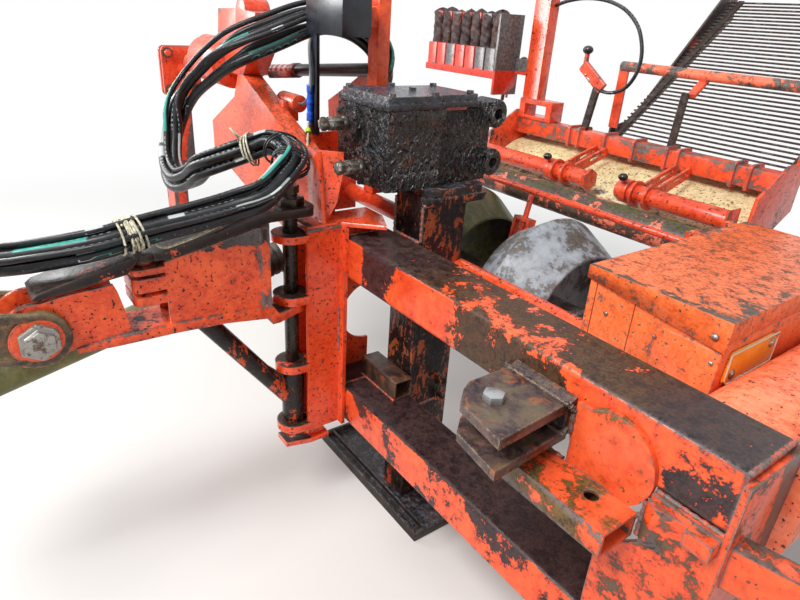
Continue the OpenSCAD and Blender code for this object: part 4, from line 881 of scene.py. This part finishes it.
# Cables as name, colour, diameter, and X, Y and Z of the points that they pass
CABLES = [
    ("cable_cream", (206, 198, 172), 7, (
        -336, 64, 1388, -334, 62, 1376, -326, 58, 1347, -314, 56, 1309, -319, 56, 1262, -322, 57, 1225,
        -322, 55, 1190, -319, 51, 1168, -308, 44, 1151, -288, 34, 1142, -264, 20, 1136, -245, 9, 1126,
        -232, 2, 1110)),
    ("cable_grey", (96, 104, 116), 8, (
        -326, 64, 1390, -322, 58, 1370, -312, 54, 1330, -308, 55, 1290, -312, 55, 1255, -326, 54, 1230,
        -352, 56, 1214, -378, 58, 1207, -402, 60, 1205))]
for name, colour, wide, points in CABLES:
    line = smooth_path(site(np.reshape(points, (-1, 3))), 0.008)
    jacket = moulded(name + "_jacket", (colour, [c * 0.82 for c in colour]), 0.4, dust=0.3, scale=200)
    cable = skin(name, [tube(line, wide / 2000, 10)], jacket)
TAPE_AT = [(-318, 56, 1268), (-320, 57, 1240), (-321, 57, 1210), (-321, 57, 1180), (-320, 56, 1160)]
tape_line = smooth_path(site(TAPE_AT), 0.004)
along = np.linspace(0, 1, len(tape_line))
lumps = 0.009 + 0.0009 * np.sin(17 * along) + 0.0006 * np.sin(43 * along + 1) + 0.0005 * np.sin(71 * along)
skin("tape_blue", [tube(tape_line, lumps, 18)], moulded("tape_blue_vinyl", (
    (18, 74, 186), (34, 104, 220)), 0.25, dust=0.2))
YELLOW_AT = [(-298, 39, 1146), (-288, 34, 1142), (-276, 27, 1139)]
skin("tape_yellow", [tube(smooth_path(site(YELLOW_AT), 0.004), 0.0085, 18)], moulded(
    "tape_yellow_vinyl", ((176, 206, 30), (214, 232, 60)), 0.3, dust=0.2))

# Hose loop at the upright: a thin hydraulic hose out of the upright's side, over and down to the lever
# bracket, where its crimped end is screwed in.
LOOP = [(-408, 1150, 1529), (-350, 1150, 1546), (-270, 1150, 1556), (-180, 1150, 1550), (-100, 1150, 1525),
        (-40, 1150, 1480), (-8, 1147, 1430), (6, 1145, 1380), (2, 1143, 1330), (-25, 1142, 1282),
        (-70, 1142, 1258), (-120, 1145, 1254), (-165, 1148, 1268), (-196, 1150, 1292)]
FERRULE = [(-14, 8.5), (-13, 9), (6, 9), (7, 8), (12, 8), (12, 10), (22, 10)]
loop_line = smooth_path(site(LOOP), 0.014)
loop = skin("hose_loop", [tube(loop_line, 0.0065, 12)], hose_rubber("loop_rubber", (60, 66, 70), 0.4))
along_hose(loop, loop_line)
loop_end = skin("hose_loop_fitting", [
    turned(loop_line[-1], loop_line[-1] - loop_line[-2], FERRULE, 20)], coupling_steel)

# Plain floor under the stand's foot, and the light: a soft sky all round, one large lamp in front, and a
# smaller one at the far side.
FLOOR_Z, FLOOR_REACH = -HELD[2] / 1000, 40
slab_mesh = bpy.data.meshes.new("floor")
slab_mesh.from_pydata([(x * FLOOR_REACH, y * FLOOR_REACH, FLOOR_Z) for x, y in (
    (-1, -1), (1, -1), (1, 1), (-1, 1))], [], [(0, 1, 2, 3)])
slab = bpy.data.objects.new("floor", slab_mesh)
bpy.context.scene.collection.objects.link(slab)
slab_finish = Finish("floor_pale", Roughness=0.85, Base_Color=tint(206, 204, 200))
slab_mesh.materials.append(slab_finish.material)
# Far from the machine the floor fades, for the camera and mirrors alone, into the white of the background
far_x, far_y, _ = slab_finish.axes()
FADE_FROM, FADE_TO = 1.6, 5.0
fade = ((far_x * far_x + far_y * far_y) ** 0.5).ramp(FADE_FROM, FADE_TO)
looks = [slab_finish.node("LightPath", {}, {}, ray) for ray in ("Is Camera Ray", "Is Glossy Ray")]
white = slab_finish.node("Emission", {}, {"Color": (1, 1, 1, 1), "Strength": 1.0})
slab_out = slab_finish.node("MixShader", {}, {0: fade * looks[0].most(looks[1])})
slab_finish.tree.links.new(slab_finish.shader.outputs[0], slab_out.socket.node.inputs[1])
slab_finish.tree.links.new(white.socket, slab_out.socket.node.inputs[2])
slab_finish.tree.links.new(slab_out.socket, slab_finish.tree.nodes["Material Output"].inputs["Surface"])

world = bpy.data.worlds.new("sky")
bpy.context.scene.world = world
world.use_nodes = True
sky = world.node_tree
around, seen = sky.nodes["Background"], sky.nodes.new("ShaderNodeBackground")
for light, colour, strength in ((around, (0.90, 0.93, 0.97, 1), 0.58), (seen, (1, 1, 1, 1), 1.0)):
    light.inputs["Color"].default_value = colour
    light.inputs["Strength"].default_value = strength
path_kind = sky.nodes.new("ShaderNodeLightPath")
shown = path_kind.outputs["Is Camera Ray"]
for ray in ("Is Transmission Ray", "Is Glossy Ray"):
    either = sky.nodes.new("ShaderNodeMath")
    either.operation = "MAXIMUM"
    sky.links.new(shown, either.inputs[0])
    sky.links.new(path_kind.outputs[ray], either.inputs[1])
    shown = either.outputs[0]
choice = sky.nodes.new("ShaderNodeMixShader")
for index, output in enumerate((shown, around.outputs[0], seen.outputs[0])):
    sky.links.new(output, choice.inputs[index])
sky.links.new(choice.outputs[0], sky.nodes["World Output"].inputs["Surface"])
for name, across, watts, place, aim in (
        ("lamp", 2.4, 350, (-0.4, -4.6, 4.4), (-0.9, -1.4, -0.1)),
        ("side_lamp", 1.6, 130, (-4.6, -3.4, 1.7), (-1.0, -1.2, 0.2))):
    glow = bpy.data.lights.new(name, "AREA")
    glow.shape, glow.size, glow.energy = "DISK", across, watts
    lamp = bpy.data.objects.new(name, glow)
    bpy.context.scene.collection.objects.link(lamp)
    lamp.location = place
    lamp.rotation_euler = (Vector(aim) - Vector(place)).to_track_quat("-Z", "Y").to_euler()
bpy.context.scene.view_settings.view_transform = "Standard"
